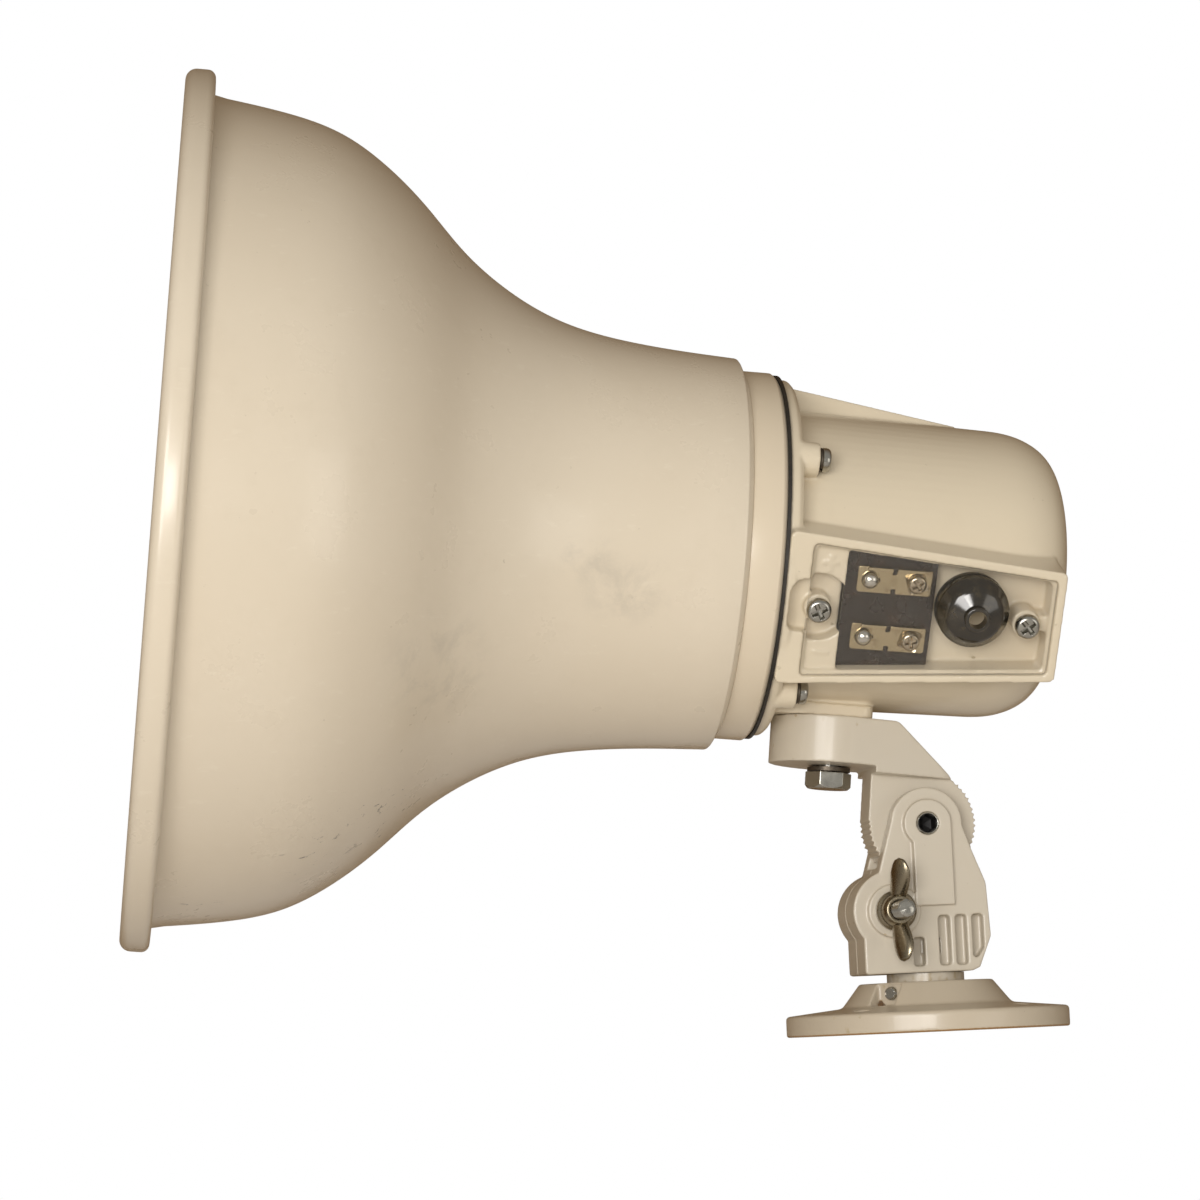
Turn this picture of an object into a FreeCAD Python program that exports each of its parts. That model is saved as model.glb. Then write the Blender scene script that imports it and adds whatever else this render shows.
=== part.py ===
"""A round re-entrant paging horn loudspeaker on a tilt-and-swivel bracket.

The row frame has its origin at the centre of the base flange's mounting face, with +Z pointing
away from that face.  The horn's mouth points towards -X and its terminal box faces -Y.

Three working frames are used, all in millimetres:
  bracket frame   the row frame itself
  head frame      origin on the tilt pin's axis, turned with the head by REST_TILT
  horn frame      x runs along the horn's axis from the rim's front plane (0) to the rear
"""
import FreeCAD
import Part

import math
import os

V = FreeCAD.Vector
ORIGIN = V(0, 0, 0)
ALONG_X = V(1, 0, 0)
ALONG_Y = V(0, 1, 0)
ALONG_Z = V(0, 0, 1)

# ---------------------------------------------------------------- driving dimensions
REST_TILT = 6.2            # the mouth points this many degrees above the base plane
PIN_HEIGHT = 66.0          # tilt pin above the mounting face
AXIS_HEIGHT = 83.0         # horn axis above the tilt pin, in the head frame
RIM_TO_PIN = 252.0         # rim's front plane to the tilt pin, along the horn's axis
GAP = 0.1                  # air between flat faces of pieces that move past each other
FIT = 0.05                 # radial clearance of a pin or shaft in its hole
LOOSE = 0.2                # clearance of a fixed piece in its seat

# bell
MOUTH_R = 140.0
BELL_WALL = 1.6
RIM_DEPTH = 9.5
BELL_CURVE = [(RIM_DEPTH, 131.9), (31.0, 128.9), (50.0, 123.8), (65.0, 115.0), (79.0, 103.0),
              (91.5, 90.4), (106.5, 79.2), (124.0, 70.8), (148.0, 65.7), (182.0, 63.2)]
BELL_END = 184.0           # rear face of the bell's turned-in lip
LIP_R = 50.0               # hole inside the lip

# collar: the cast plate that closes the bell and carries the driver
COLLAR_R = 59.4
COLLAR_END = 195.0
COLLAR_WEB = 6.0
COLLAR_BORE = 46.0         # recess behind the web
THROAT_R = 13.0

# tone arm and reflector
ARM_FRONT = 94.0
ARM_WALL = 2.0
ARM_BORE = [(ARM_FRONT, 21.5), (115.0, 17.8), (140.0, 15.0), (165.0, 13.4), (BELL_END, THROAT_R)]
POST_CIRCLE_R = 27.5
POST_ROD_R = 4.5
POST_FRONT = 68.0
POST_BACK = 118.0
POST_ANGLES = (90.0, 210.0, 330.0)
REFLECTOR_CURVE = [(57.0, 0.0), (58.2, 14.0), (62.0, 28.0), (71.0, 42.5), (85.0, 50.5), (100.0, 50.2),
                   (125.0, 45.0), (150.0, 41.2), (173.0, 39.4)]
REFLECTOR_WALL = 1.8
REFLECTOR_SEAT = 64.4      # flat seat of each reflector screw's head

# housing
GASKET = 1.0
FLANGE_START = COLLAR_END + GASKET
FLANGE_END = 200.4
FLANGE_R = 57.5
CUP_R = 48.2
CUP_WALL = 3.0
CUP_END = 293.0
SPRING_WASHER = 1.1
CUP_TURN = (262.0, 46.6)    # where the straight side starts to round over
SCREW_CIRCLE_R = 52.2      # four housing screws
SCREW_ANGLES = (30.0, 120.0, 210.0, 300.0)
SCREW_BOSS_R = 5.5
SCREW_BOSS_END = 205.6
M4_R = 2.0
M4_CLEAR_R = 2.25
M4_HEAD_R = 3.9
M4_HEAD = 2.8
BELL_SCREW_R = 54.6        # screws through the bell's lip, between the housing screws
BELL_SCREW_ANGLES = [angle + 45 for angle in SCREW_ANGLES]
BELL_SCREW_LENGTH = 9.0
ARM_SCREW_R = 20.5
ARM_SCREW_ANGLES = (90.0, 210.0, 330.0)
ARM_FLANGE = 4.0
ARM_FLANGE_R = 25.0
DRIVER_SCREW_R = 33.0
DRIVER_SCREW_ANGLES = (30.0, 150.0, 270.0)
DRIVER_SCREW_LENGTH = 19.0

# terminal tray: measured along the axis, up from its centre line, and out from the horn's axis
TRAY_TILT = 23.0           # its face looks this many degrees below the horizontal
TRAY_START = 196.2
TRAY_END = 284.4
TRAY_FACE = 56.0
TRAY_FLOOR = 44.0
TRAY_SKIN = 2.2
TRAY_TALL = 24.9           # half height at the front end
TRAY_SHORT = 17.8          # half height at the rear end
TRAY_LEDGE = 1.2
COVER_PLATE = 2.0
COVER_REST = 53.6
COVER_SCREWS = (207.4, 273.4)
POST_R = 4.4
PAD_FACE = 52.4
WELL_R = 10.8              # round the front cover screw
WELL_FLOOR = 46.5
MARK_X = 210.1
MARK_HEIGHT = 14.6
BLOCK_START = 215.6
BLOCK_END = 244.5
BLOCK_TOP = 48.5
STRIP_HEIGHTS = (9.3, -9.3)
GROMMET_AT = (255.5, 3.6)
GROMMET_R = 11.5
GROMMET_NECK = 9.3
NIPPLE_R = 4.0
CABLE_R = 2.8
NIPPLE_END = 66.4
MARGINS = (7.5, 2.8, 3.0, 2.4)   # cover seat to the tray's front, rear, upper and lower sides
STRIP = 1.0
STRIP_HALF = 4.2
STRIP_START = 219.4
STRIP_END = 243.0
SLIT_X = 231.0
TERMINAL_X = 238.2
SMALL_R = 1.7
SOLDER_X = 223.4
SOLDER_R = 2.9
LEAD_R = 0.8
LEAD_X = 225.6             # where the two leads come up through the terminal block

# driver, front to back
WEB_BACK = BELL_END + COLLAR_WEB
COIL_R = 18.5
COIL_END = 206.5
COIL_AIR = 0.3             # the coil's clearance in the magnet's gap
MAGNET_BORE_R = 24.0
POLE_FRONT = 199.6
DOME_SEAT = 198.0
TOP_PLATE = (198.5, 204.5)
MAGNET = (204.5, 221.5)
BACK_PLATE = (221.5, 227.5)
PLATE_R = 38.0
MAGNET_R = 40.0
POLE_R = 18.2

# line transformer behind the driver
CORE_BACK = BACK_PLATE[1] + 35.0
CORE_HALF_Y = 21.0
CORE_HALF_Z = 10.0
LEG_HALF = 7.0
WINDOW_Y = 14.0
STRAP = 1.2
STRAP_HALF_Z = 8.0
STRAP_SCREW_Y = 28.0

# bracket, upper arm in the head frame
PAN_X = -30.0
PAN_R = 19.5
PAN_TOP = 32.0
PAN_BOTTOM = 17.0
M8_R = 4.0
PIN_R = 3.7
DISC_R = 17.6
DISC_HALF = 8.0
TEETH = 60
TOOTH = 1.1
PAN_WASHER = 2.0

# boss under the housing, and the rib above it, in the horn frame
BOSS_START = 200.0
BOSS_REAR = RIM_TO_PIN + PAN_X + 10.6
BOSS_HALF = 13.0
BOSS_FOOT = 4.0
BOSS_BOTTOM = PAN_TOP + GAP - AXIS_HEIGHT
RIB_HALF = 4.0

# bracket, knuckle and base in the row frame
KNUCKLE_HALF = 15.0
KNUCKLE_SPLIT = 0.3
KNUCKLE_BOTTOM = 18.8
EAR_R = 11.5
EAR_GAP = DISC_HALF + 0.3
CLAMP_X = -12.0
CLAMP_Z = 38.6
CLAMP_BOSS_R = 13.0
CLAMP_RING_R = 8.4
CLAMP_RING = 1.5
M6_R = 3.0
PAD = 2.0
RIB_POCKETS = [(-6.2, 30.0), (2.2, 36.7), (7.6, 36.7), (13.0, 36.7)]   # left edge and top
RIB_POCKET_WIDTH = 3.6
RIB_POCKET_DEPTH = 4.0
BOLT_HEAD = 4.0
BOLT_TIP = -37.5
RING_FACE = KNUCKLE_HALF + CLAMP_RING
CLAMP_WASHER = 1.2
BASE_R = 45.3
BASE_EDGE = 6.6
CONE_FOOT = (27.2, 8.5)
CONE_TOP = (21.3, 16.0)
HOLE_CIRCLE_R = 36.0
HOLE_R = 2.6
SPINDLE_COLLAR_R = 12.4
SPINDLE_NECK_R = 7.0
SPINDLE_HEAD_R = 11.0
SPINDLE_HEAD = (24.5, 29.5)
SET_SCREW_Z = 12.6
SET_SCREW_TURN = 46.0      # round from -X towards -Y, in degrees


# ---------------------------------------------------------------- shared shapes
def outline(points):
    """Closed wire in the XZ plane from (x, z) or (x, z, corner radius) points."""
    corners = []
    count = len(points)
    for index, point in enumerate(points):
        here = V(point[0], 0, point[1])
        radius = point[2] if len(point) > 2 else 0
        if radius == 0:
            corners.append((here, None, here))
            continue
        before = points[index - 1]
        after = points[(index + 1) % count]
        back = (V(before[0], 0, before[1]) - here).normalize()
        ahead = (V(after[0], 0, after[1]) - here).normalize()
        half = back.getAngle(ahead) / 2
        reach = radius / math.tan(half)
        inward = (back + ahead).normalize()
        middle = here + inward * (radius / math.sin(half) - radius)
        corners.append((here + back * reach, middle, here + ahead * reach))
    edges = []
    for index, (start, middle, end) in enumerate(corners):
        if middle is not None:
            edges.append(Part.Arc(start, middle, end).toShape())
        following = corners[(index + 1) % count][0]
        if (following - end).Length > 1e-6:
            edges.append(Part.LineSegment(end, following).toShape())
    return Part.Wire(edges)


def slab(points, near, far):
    """Outline in the XZ plane, made solid from y = near to y = far."""
    face = Part.Face(outline(points))
    face.translate(V(0, near, 0))
    return face.extrude(V(0, far - near, 0))


def turned_x(points):
    """Outline of (x, radius) points, turned about the X axis."""
    return Part.Face(outline(points)).revolve(ORIGIN, ALONG_X, 360)


def turned_z(points):
    """Outline of (radius, z) points, turned about the Z axis."""
    return Part.Face(outline(points)).revolve(ORIGIN, ALONG_Z, 360)


def curve(points):
    """Smooth edge in the XZ plane through the points."""
    spline = Part.BSplineCurve()
    spline.interpolate([V(x, 0, z) for x, z in points])
    return spline


def beside(spline, distance, count):
    """Points at a distance to the right of a smooth edge, as seen along it."""
    points = []
    for step in range(count):
        at = spline.FirstParameter
        at += (spline.LastParameter - spline.FirstParameter) * step / (count - 1)
        place = spline.value(at)
        along = spline.tangent(at)[0]
        points.append((place.x + along.z * distance, place.z - along.x * distance))
    return points


def joined(points):
    """Straight edges in the XZ plane from point to point."""
    edges = []
    for start, end in zip(points, points[1:]):
        edges.append(Part.LineSegment(V(start[0], 0, start[1]), V(end[0], 0, end[1])).toShape())
    return edges


def spun(edges):
    """Closed run of edges in the XZ plane, turned about the X axis."""
    return Part.Face(Part.Wire(Part.__sortEdges__(edges))).revolve(ORIGIN, ALONG_X, 360)


def rod(radius, start, end):
    return Part.makeCylinder(radius, (end - start).Length, start, end - start)


def tapered(start_radius, end_radius, start, end):
    return Part.makeCone(start_radius, end_radius, (end - start).Length, start, end - start)


def block(low, high):
    size = high - low
    return Part.makeBox(size.x, size.y, size.z, low)


def fused(shapes):
    return shapes[0].multiFuse(shapes[1:]).removeSplitter()


def group(shapes):
    return Part.makeCompound(shapes)


def around(shape, angle):
    """Copy of a horn-frame shape turned about the horn's axis, up from the -Y side."""
    copy = shape.copy()
    copy.rotate(ORIGIN, ALONG_X, -angle)
    return copy


def pan_screw(length, shank_r=M4_R, head_r=M4_HEAD_R, head=M4_HEAD):
    """Cross-recessed screw: head towards -X from x = 0, shank towards +X."""
    solid = turned_x([(-head, 0), (length, 0), (length - 0.5, shank_r - 0.5), (length - 0.5, shank_r),
                      (0, shank_r), (0, head_r), (-head, head_r, head * 0.6)])
    arm = head_r * 0.55
    slot = 0.45
    depth = head * 0.6
    cross = fused([block(V(-head - 1, -arm, -slot), V(-head + depth, arm, slot)),
                   block(V(-head - 1, -slot, -arm), V(-head + depth, slot, arm))])
    return solid.cut(cross)


def moved(shape, x, y, z):
    copy = shape.copy()
    copy.translate(V(x, y, z))
    return copy


def flipped(shape):
    """Copy turned half way round, so what pointed to +X points to -X."""
    copy = shape.copy()
    copy.rotate(ORIGIN, ALONG_Z, 180)
    return copy


def ring_of(shape, radius, angles):
    """Copies of a shape on a circle about the horn's axis."""
    return [around(moved(shape, 0, -radius, 0), angle) for angle in angles]


def hexagon(flats, low, high):
    """Hexagonal prism about Z, with its corners taken off at the low end."""
    corner = flats / math.sqrt(3)
    points = [V(corner * math.cos(math.radians(60 * k)), corner * math.sin(math.radians(60 * k)), low)
              for k in range(7)]
    prism = Part.Face(Part.makePolygon(points)).extrude(V(0, 0, high - low))
    ease = corner - flats / 2
    eased = turned_z([(0, low), (flats / 2, low), (corner, low + ease), (corner, high), (0, high)])
    return prism.common(eased)


# ---------------------------------------------------------------- horn
def bell():
    outer = curve(BELL_CURVE)
    inner_points = beside(outer, BELL_WALL, 11)
    inner_points[0] = (RIM_DEPTH, BELL_CURVE[0][1] - BELL_WALL)
    inner_points[-1] = (BELL_END - BELL_WALL, inner_points[-1][1])
    inner = curve(inner_points)
    rear = joined([BELL_CURVE[-1], (BELL_END, COLLAR_R), (BELL_END, LIP_R),
                   (BELL_END - BELL_WALL, LIP_R), inner_points[-1]])
    shell = spun([outer.toShape(), inner.toShape()] + rear
                 + joined([inner_points[0], BELL_CURVE[0]]))
    inside = inner_points[0][1]
    bead = turned_x([(RIM_DEPTH, inside), (0, inside + 0.4, 1.5), (0, MOUTH_R, 3.5),
                     (RIM_DEPTH, MOUTH_R, 3.5)])
    holes = ring_of(rod(M4_CLEAR_R, V(BELL_END - 4, 0, 0), V(BELL_END + 1, 0, 0)),
                    BELL_SCREW_R, BELL_SCREW_ANGLES)
    return fused([shell, bead]).cut(holes)


def bell_screws():
    screw = moved(pan_screw(BELL_SCREW_LENGTH), BELL_END - BELL_WALL, 0, 0)
    return group(ring_of(screw, BELL_SCREW_R, BELL_SCREW_ANGLES))


def screw_holes(radius, circle, angles, start, end):
    return ring_of(rod(radius, V(start, 0, 0), V(end, 0, 0)), circle, angles)


def collar():
    body = turned_x([(BELL_END, THROAT_R), (WEB_BACK, THROAT_R), (WEB_BACK, COLLAR_BORE),
                     (COLLAR_END, COLLAR_BORE), (COLLAR_END, COLLAR_R - 1.6), (COLLAR_END - 1.6, COLLAR_R),
                     (BELL_END, COLLAR_R)])
    holes = screw_holes(M4_R, BELL_SCREW_R, BELL_SCREW_ANGLES, BELL_END - 1, BELL_END + 8)
    holes += screw_holes(M4_R, SCREW_CIRCLE_R, SCREW_ANGLES, COLLAR_END - 8, COLLAR_END + 1)
    holes += screw_holes(M4_R, ARM_SCREW_R, ARM_SCREW_ANGLES, BELL_END - 1, WEB_BACK + 1)
    holes += screw_holes(M4_CLEAR_R, DRIVER_SCREW_R, DRIVER_SCREW_ANGLES, BELL_END - 1, WEB_BACK + 1)
    return body.cut(holes)


def tone_arm():
    bore = curve(ARM_BORE)
    wall = curve([(x, radius + ARM_WALL) for x, radius in ARM_BORE])
    tube = spun([bore.toShape(), wall.toShape()]
                + joined([(ARM_FRONT, ARM_BORE[0][1]), (ARM_FRONT, ARM_BORE[0][1] + ARM_WALL)])
                + joined([(BELL_END, THROAT_R), (BELL_END, THROAT_R + ARM_WALL)]))
    flange = turned_x([(BELL_END - ARM_FLANGE, THROAT_R + 1), (BELL_END - ARM_FLANGE, ARM_FLANGE_R),
                       (BELL_END, ARM_FLANGE_R), (BELL_END, THROAT_R + 1)])
    posts = []
    for angle in POST_ANGLES:
        post = rod(POST_ROD_R, V(POST_FRONT, -POST_CIRCLE_R, 0), V(POST_BACK, -POST_CIRCLE_R, 0))
        web = slab([(ARM_FRONT, -1.5), (POST_BACK + 20, -1.5), (POST_BACK + 20, 1.5), (ARM_FRONT, 1.5)],
                   -POST_CIRCLE_R, -ARM_BORE[2][1] - 1)
        web = web.cut(slab([(POST_BACK, -2), (POST_BACK + 21, -2), (POST_BACK + 21, 2), (POST_BACK, 2)],
                           -POST_CIRCLE_R - 1, -ARM_BORE[1][1] - ARM_WALL - 2))
        posts.append(around(fused([post, web]), angle))
    passage = spun([bore.toShape()] + joined([ARM_BORE[0], (ARM_FRONT, 0), (BELL_END, 0), ARM_BORE[-1]]))
    clear = rod(ARM_BORE[0][1], V(POST_FRONT - 1, 0, 0), V(ARM_FRONT, 0, 0))
    body = fused([tube, flange] + posts).cut([passage, clear])
    holes = screw_holes(M4_CLEAR_R, ARM_SCREW_R, ARM_SCREW_ANGLES, BELL_END - 6, BELL_END + 1)
    holes += screw_holes(M4_R, POST_CIRCLE_R, POST_ANGLES, POST_FRONT - 1, POST_FRONT + 12)
    return body.cut(holes)


def tone_arm_screws():
    screw = moved(pan_screw(9.0), BELL_END - ARM_FLANGE, 0, 0)
    return group(ring_of(screw, ARM_SCREW_R, ARM_SCREW_ANGLES))


def reflector():
    outer = curve(REFLECTOR_CURVE)
    inner_points = beside(outer, REFLECTOR_WALL, 11)
    inner_points[0] = (REFLECTOR_CURVE[0][0] + REFLECTOR_WALL, 0.0)
    inner = curve(inner_points)
    shell = spun([outer.toShape(), inner.toShape()] + joined([REFLECTOR_CURVE[-1], inner_points[-1]])
                 + joined([REFLECTOR_CURVE[0], inner_points[0]]))
    solid = spun([outer.toShape()] + joined([REFLECTOR_CURVE[-1], (REFLECTOR_CURVE[-1][0], 0),
                                             REFLECTOR_CURVE[0]]))
    stubs = ring_of(rod(POST_ROD_R, V(REFLECTOR_CURVE[0][0], 0, 0), V(POST_FRONT, 0, 0)),
                    POST_CIRCLE_R, POST_ANGLES)
    stubs = [stub.common(solid) for stub in stubs]
    seats = screw_holes(M4_HEAD_R + 0.3, POST_CIRCLE_R, POST_ANGLES, 40, REFLECTOR_SEAT)
    holes = screw_holes(M4_CLEAR_R, POST_CIRCLE_R, POST_ANGLES, 40, POST_FRONT + 1)
    return fused([shell] + stubs).cut(seats + holes)


def reflector_screws():
    screw = moved(pan_screw(14.0), REFLECTOR_SEAT, 0, 0)
    return group(ring_of(screw, POST_CIRCLE_R, POST_ANGLES))


# ---------------------------------------------------------------- driver
def driver_cover():
    body = turned_x([(WEB_BACK, THROAT_R), (193.4, THROAT_R), (193.4, 20.5), (DOME_SEAT, 20.5),
                     (DOME_SEAT, 27.4), (TOP_PLATE[0], 27.4), (TOP_PLATE[0], 41.0), (WEB_BACK, 41.0)])
    return body.cut(screw_holes(M4_CLEAR_R, DRIVER_SCREW_R, DRIVER_SCREW_ANGLES, WEB_BACK - 1, 200))


def phase_plug():
    bullet = turned_x([(181.0, 0), (186.0, 4.5, 4), (192.4, 8.6), (192.4, 0)])
    ring = turned_x([(185.2, 11.6), (189.8, 11.6), (189.8, THROAT_R - 0.1), (185.2, THROAT_R - 0.1)])
    spokes = []
    for angle in POST_ANGLES:
        spoke = block(V(186.4, -12.2, -0.7), V(189.4, -3.0, 0.7))
        spokes.append(around(spoke, angle))
    return fused([bullet, ring] + spokes)


def diaphragm():
    rim = turned_x([(DOME_SEAT, COIL_R), (DOME_SEAT, 27.2), (TOP_PLATE[0], 27.2), (TOP_PLATE[0], COIL_R)])
    ball_r = 45.0
    sagitta = ball_r - math.sqrt(ball_r ** 2 - (COIL_R + 0.2) ** 2)
    centre = V(TOP_PLATE[0] - sagitta + ball_r, 0, 0)
    dome = Part.makeSphere(ball_r, centre).cut(Part.makeSphere(ball_r - 0.4, centre))
    dome = dome.common(rod(COIL_R + 0.2, V(TOP_PLATE[0] - sagitta - 1, 0, 0), V(TOP_PLATE[0], 0, 0)))
    return fused([rim, dome])


def voice_coil():
    return turned_x([(TOP_PLATE[0], COIL_R), (TOP_PLATE[0], COIL_R + 1), (COIL_END, COIL_R + 1),
                     (COIL_END, COIL_R)])


def top_plate():
    bore = COIL_R + 1 + COIL_AIR
    body = turned_x([(TOP_PLATE[0], bore), (TOP_PLATE[0], PLATE_R), (TOP_PLATE[1], PLATE_R),
                     (TOP_PLATE[1], bore)])
    return body.cut(screw_holes(M4_R, DRIVER_SCREW_R, DRIVER_SCREW_ANGLES, 198, 205))


def magnet():
    return turned_x([(MAGNET[0], MAGNET_BORE_R), (MAGNET[0], MAGNET_R, 1), (MAGNET[1], MAGNET_R, 1),
                     (MAGNET[1], MAGNET_BORE_R)])


def back_plate():
    body = turned_x([(POLE_FRONT, 0), (POLE_FRONT, POLE_R), (BACK_PLATE[0], POLE_R), (BACK_PLATE[0], PLATE_R),
                     (BACK_PLATE[1], PLATE_R), (BACK_PLATE[1], 0)])
    hole = rod(M4_R, V(BACK_PLATE[0] + 0.5, 0, 0), V(BACK_PLATE[1] + 1, 0, 0))
    return body.cut([moved(hole, 0, side * STRAP_SCREW_Y, 0) for side in (-1, 1)])


def driver_screws():
    screw = moved(pan_screw(DRIVER_SCREW_LENGTH), BELL_END, 0, 0)
    return group(ring_of(screw, DRIVER_SCREW_R, DRIVER_SCREW_ANGLES))


def transformer_core():
    body = block(V(BACK_PLATE[1], -CORE_HALF_Y, -CORE_HALF_Z), V(CORE_BACK, CORE_HALF_Y, CORE_HALF_Z))
    windows = []
    for side in (-1, 1):
        low, high = sorted((side * LEG_HALF, side * WINDOW_Y))
        windows.append(block(V(BACK_PLATE[1] + 7, low, -20), V(CORE_BACK - 7, high, 20)))
    return body.cut(windows)


def transformer_winding():
    start = BACK_PLATE[1] + 7.2
    end = CORE_BACK - 7.2
    body = block(V(start, -WINDOW_Y + 0.2, -16.5), V(end, WINDOW_Y - 0.2, 16.5))
    leg = block(V(start - 1, -LEG_HALF, -CORE_HALF_Z), V(end + 1, LEG_HALF, CORE_HALF_Z))
    body = body.makeFillet(3.0, [edge for edge in body.Edges if abs(edge.tangentAt(0).x) > 0.9])
    return body.cut(leg)


def transformer_strap():
    start = BACK_PLATE[1]
    end = CORE_BACK + STRAP
    side_end = CORE_HALF_Y + STRAP
    parts = [block(V(CORE_BACK, -side_end, -STRAP_HALF_Z), V(end, side_end, STRAP_HALF_Z))]
    for side in (-1, 1):
        low, high = sorted((side * CORE_HALF_Y, side * side_end))
        parts.append(block(V(start, low, -STRAP_HALF_Z), V(end, high, STRAP_HALF_Z)))
        low, high = sorted((side * CORE_HALF_Y, side * (STRAP_SCREW_Y + 5)))
        parts.append(block(V(start, low, -STRAP_HALF_Z), V(start + STRAP, high, STRAP_HALF_Z)))
    hole = rod(M4_CLEAR_R, V(start - 1, 0, 0), V(start + 3, 0, 0))
    return fused(parts).cut([moved(hole, 0, side * STRAP_SCREW_Y, 0) for side in (-1, 1)])


def strap_screws():
    screw = moved(flipped(pan_screw(5.5)), BACK_PLATE[1] + STRAP, 0, 0)
    return group([moved(screw, 0, side * STRAP_SCREW_Y, 0) for side in (-1, 1)])


def wire(points, radius):
    """Round wire along straight runs, with a ball at each bend."""
    parts = [rod(radius, start, end) for start, end in zip(points, points[1:])]
    parts += [Part.makeSphere(radius, point) for point in points[1:-1]]
    return fused(parts)


def on_tray(along, height, out):
    """Horn-frame point of a place in the terminal tray."""
    tilt = math.radians(TRAY_TILT)
    return V(along, -out * math.cos(tilt) - height * math.sin(tilt),
             -out * math.sin(tilt) + height * math.cos(tilt))


def lead_wires():
    upper = wire([on_tray(LEAD_X, STRIP_HEIGHTS[0], BLOCK_TOP), on_tray(LEAD_X, STRIP_HEIGHTS[0], 40.2),
                  on_tray(236, STRIP_HEIGHTS[0], 37), V(244, -30, 20), V(245, -9, 17.4)], LEAD_R)
    lower = wire([on_tray(LEAD_X, STRIP_HEIGHTS[1], BLOCK_TOP), on_tray(LEAD_X, STRIP_HEIGHTS[1], 40.2),
                  on_tray(236, STRIP_HEIGHTS[1], 36), V(245, -9, -17.4)], LEAD_R)
    return group([upper, lower])


# ---------------------------------------------------------------- housing
def half_height(along):
    share = (along - TRAY_START) / (TRAY_END - TRAY_START)
    return TRAY_TALL + (TRAY_SHORT - TRAY_TALL) * share


def tray_outline(left, right, top, bottom, radius):
    """The tray's tapered outline, drawn in by a margin on each side."""
    start = TRAY_START + left
    end = TRAY_END - right
    return [(start, bottom - half_height(start), radius), (end, bottom - half_height(end), radius),
            (end, half_height(end) - top, radius), (start, half_height(start) - top, radius)]


def seat_outline(inset, radius):
    left, right, top, bottom = MARGINS
    return tray_outline(left + inset, right + inset, top + inset, bottom + inset, radius)


def tray_slab(points, low, high):
    return slab(points, -high, -low)


def on_face(shape):
    """Turn a shape built facing -Y to the tray's own tilt."""
    copy = shape.copy()
    copy.rotate(ORIGIN, ALONG_X, TRAY_TILT)
    return copy


def face_rod(radius, along, height, low, high):
    return rod(radius, V(along, -low, height), V(along, -high, height))


def housing_profile(inset):
    """Cup outline of (x, radius) edges, drawn in by a wall thickness."""
    end = CUP_END - inset
    side_end = (CUP_TURN[0], CUP_TURN[1] - inset)
    corner = [side_end, (275.0, 45.3 - inset), (284.0 - inset * 0.6, 40.6 - inset * 0.8),
              (289.8 - inset * 0.9, 30.0 - inset * 0.5), (end - 0.5, 15.0), (end, 0.0)]
    turn = Part.BSplineCurve()
    turn.interpolate(Points=[V(x, 0, z) for x, z in corner],
                     InitialTangent=V(CUP_TURN[0] - FLANGE_START, 0, CUP_TURN[1] - CUP_R),
                     FinalTangent=V(0, 0, -1))
    return [turn.toShape()] + joined([(end, 0), (FLANGE_START, 0), (FLANGE_START, CUP_R - inset), side_end])


def bracket_boss():
    column = block(V(BOSS_START, -BOSS_HALF, BOSS_BOTTOM), V(BOSS_REAR, BOSS_HALF, -30))
    foot_half = BOSS_HALF + 1.5
    foot = block(V(FLANGE_START + 2, -foot_half, BOSS_BOTTOM),
                 V(BOSS_REAR + 0.8, foot_half, BOSS_BOTTOM + BOSS_FOOT))
    rounded = []
    for solid, radius in ((column, 3.0), (foot, 4.0)):
        rear = [edge for edge in solid.Edges
                if abs(edge.tangentAt(0).z) > 0.9 and edge.CenterOfMass.x > BOSS_START + 3]
        rounded.append(solid.makeFillet(radius, rear))
    return fused(rounded)


def top_rib():
    return slab([(FLANGE_START, 40), (256, 40), (256, 47.2), (FLANGE_END, 55.6), (FLANGE_START, 55.6)],
                -RIB_HALF, RIB_HALF)


def tray_pads():
    """Label pads and the well round the front cover screw."""
    left, right, top, bottom = MARGINS
    start = TRAY_START + left
    end = BLOCK_START - LOOSE
    pads = tray_slab([(start, bottom - half_height(start)), (end, bottom - half_height(BLOCK_START)),
                      (end, half_height(BLOCK_START) - top), (start, half_height(start) - top)],
                     TRAY_FLOOR, PAD_FACE)
    well = face_rod(WELL_R, COVER_SCREWS[0], 0, WELL_FLOOR, 60)
    return pads.cut(well)


def tray_marks():
    """A plus on the upper pad and a minus on the lower one."""
    marks = []
    low = PAD_FACE - 0.4
    high = PAD_FACE + 0.5
    for height in (MARK_HEIGHT, -MARK_HEIGHT):
        bar = tray_slab([(-2.5, -0.5), (2.5, -0.5), (2.5, 0.5), (-2.5, 0.5)], low, high)
        marks.append(moved(bar, MARK_X, 0, height))
    upright = tray_slab([(-0.5, -2.5), (0.5, -2.5), (0.5, 2.5), (-0.5, 2.5)], low, high)
    marks.append(moved(upright, MARK_X, 0, MARK_HEIGHT))
    return marks


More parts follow.
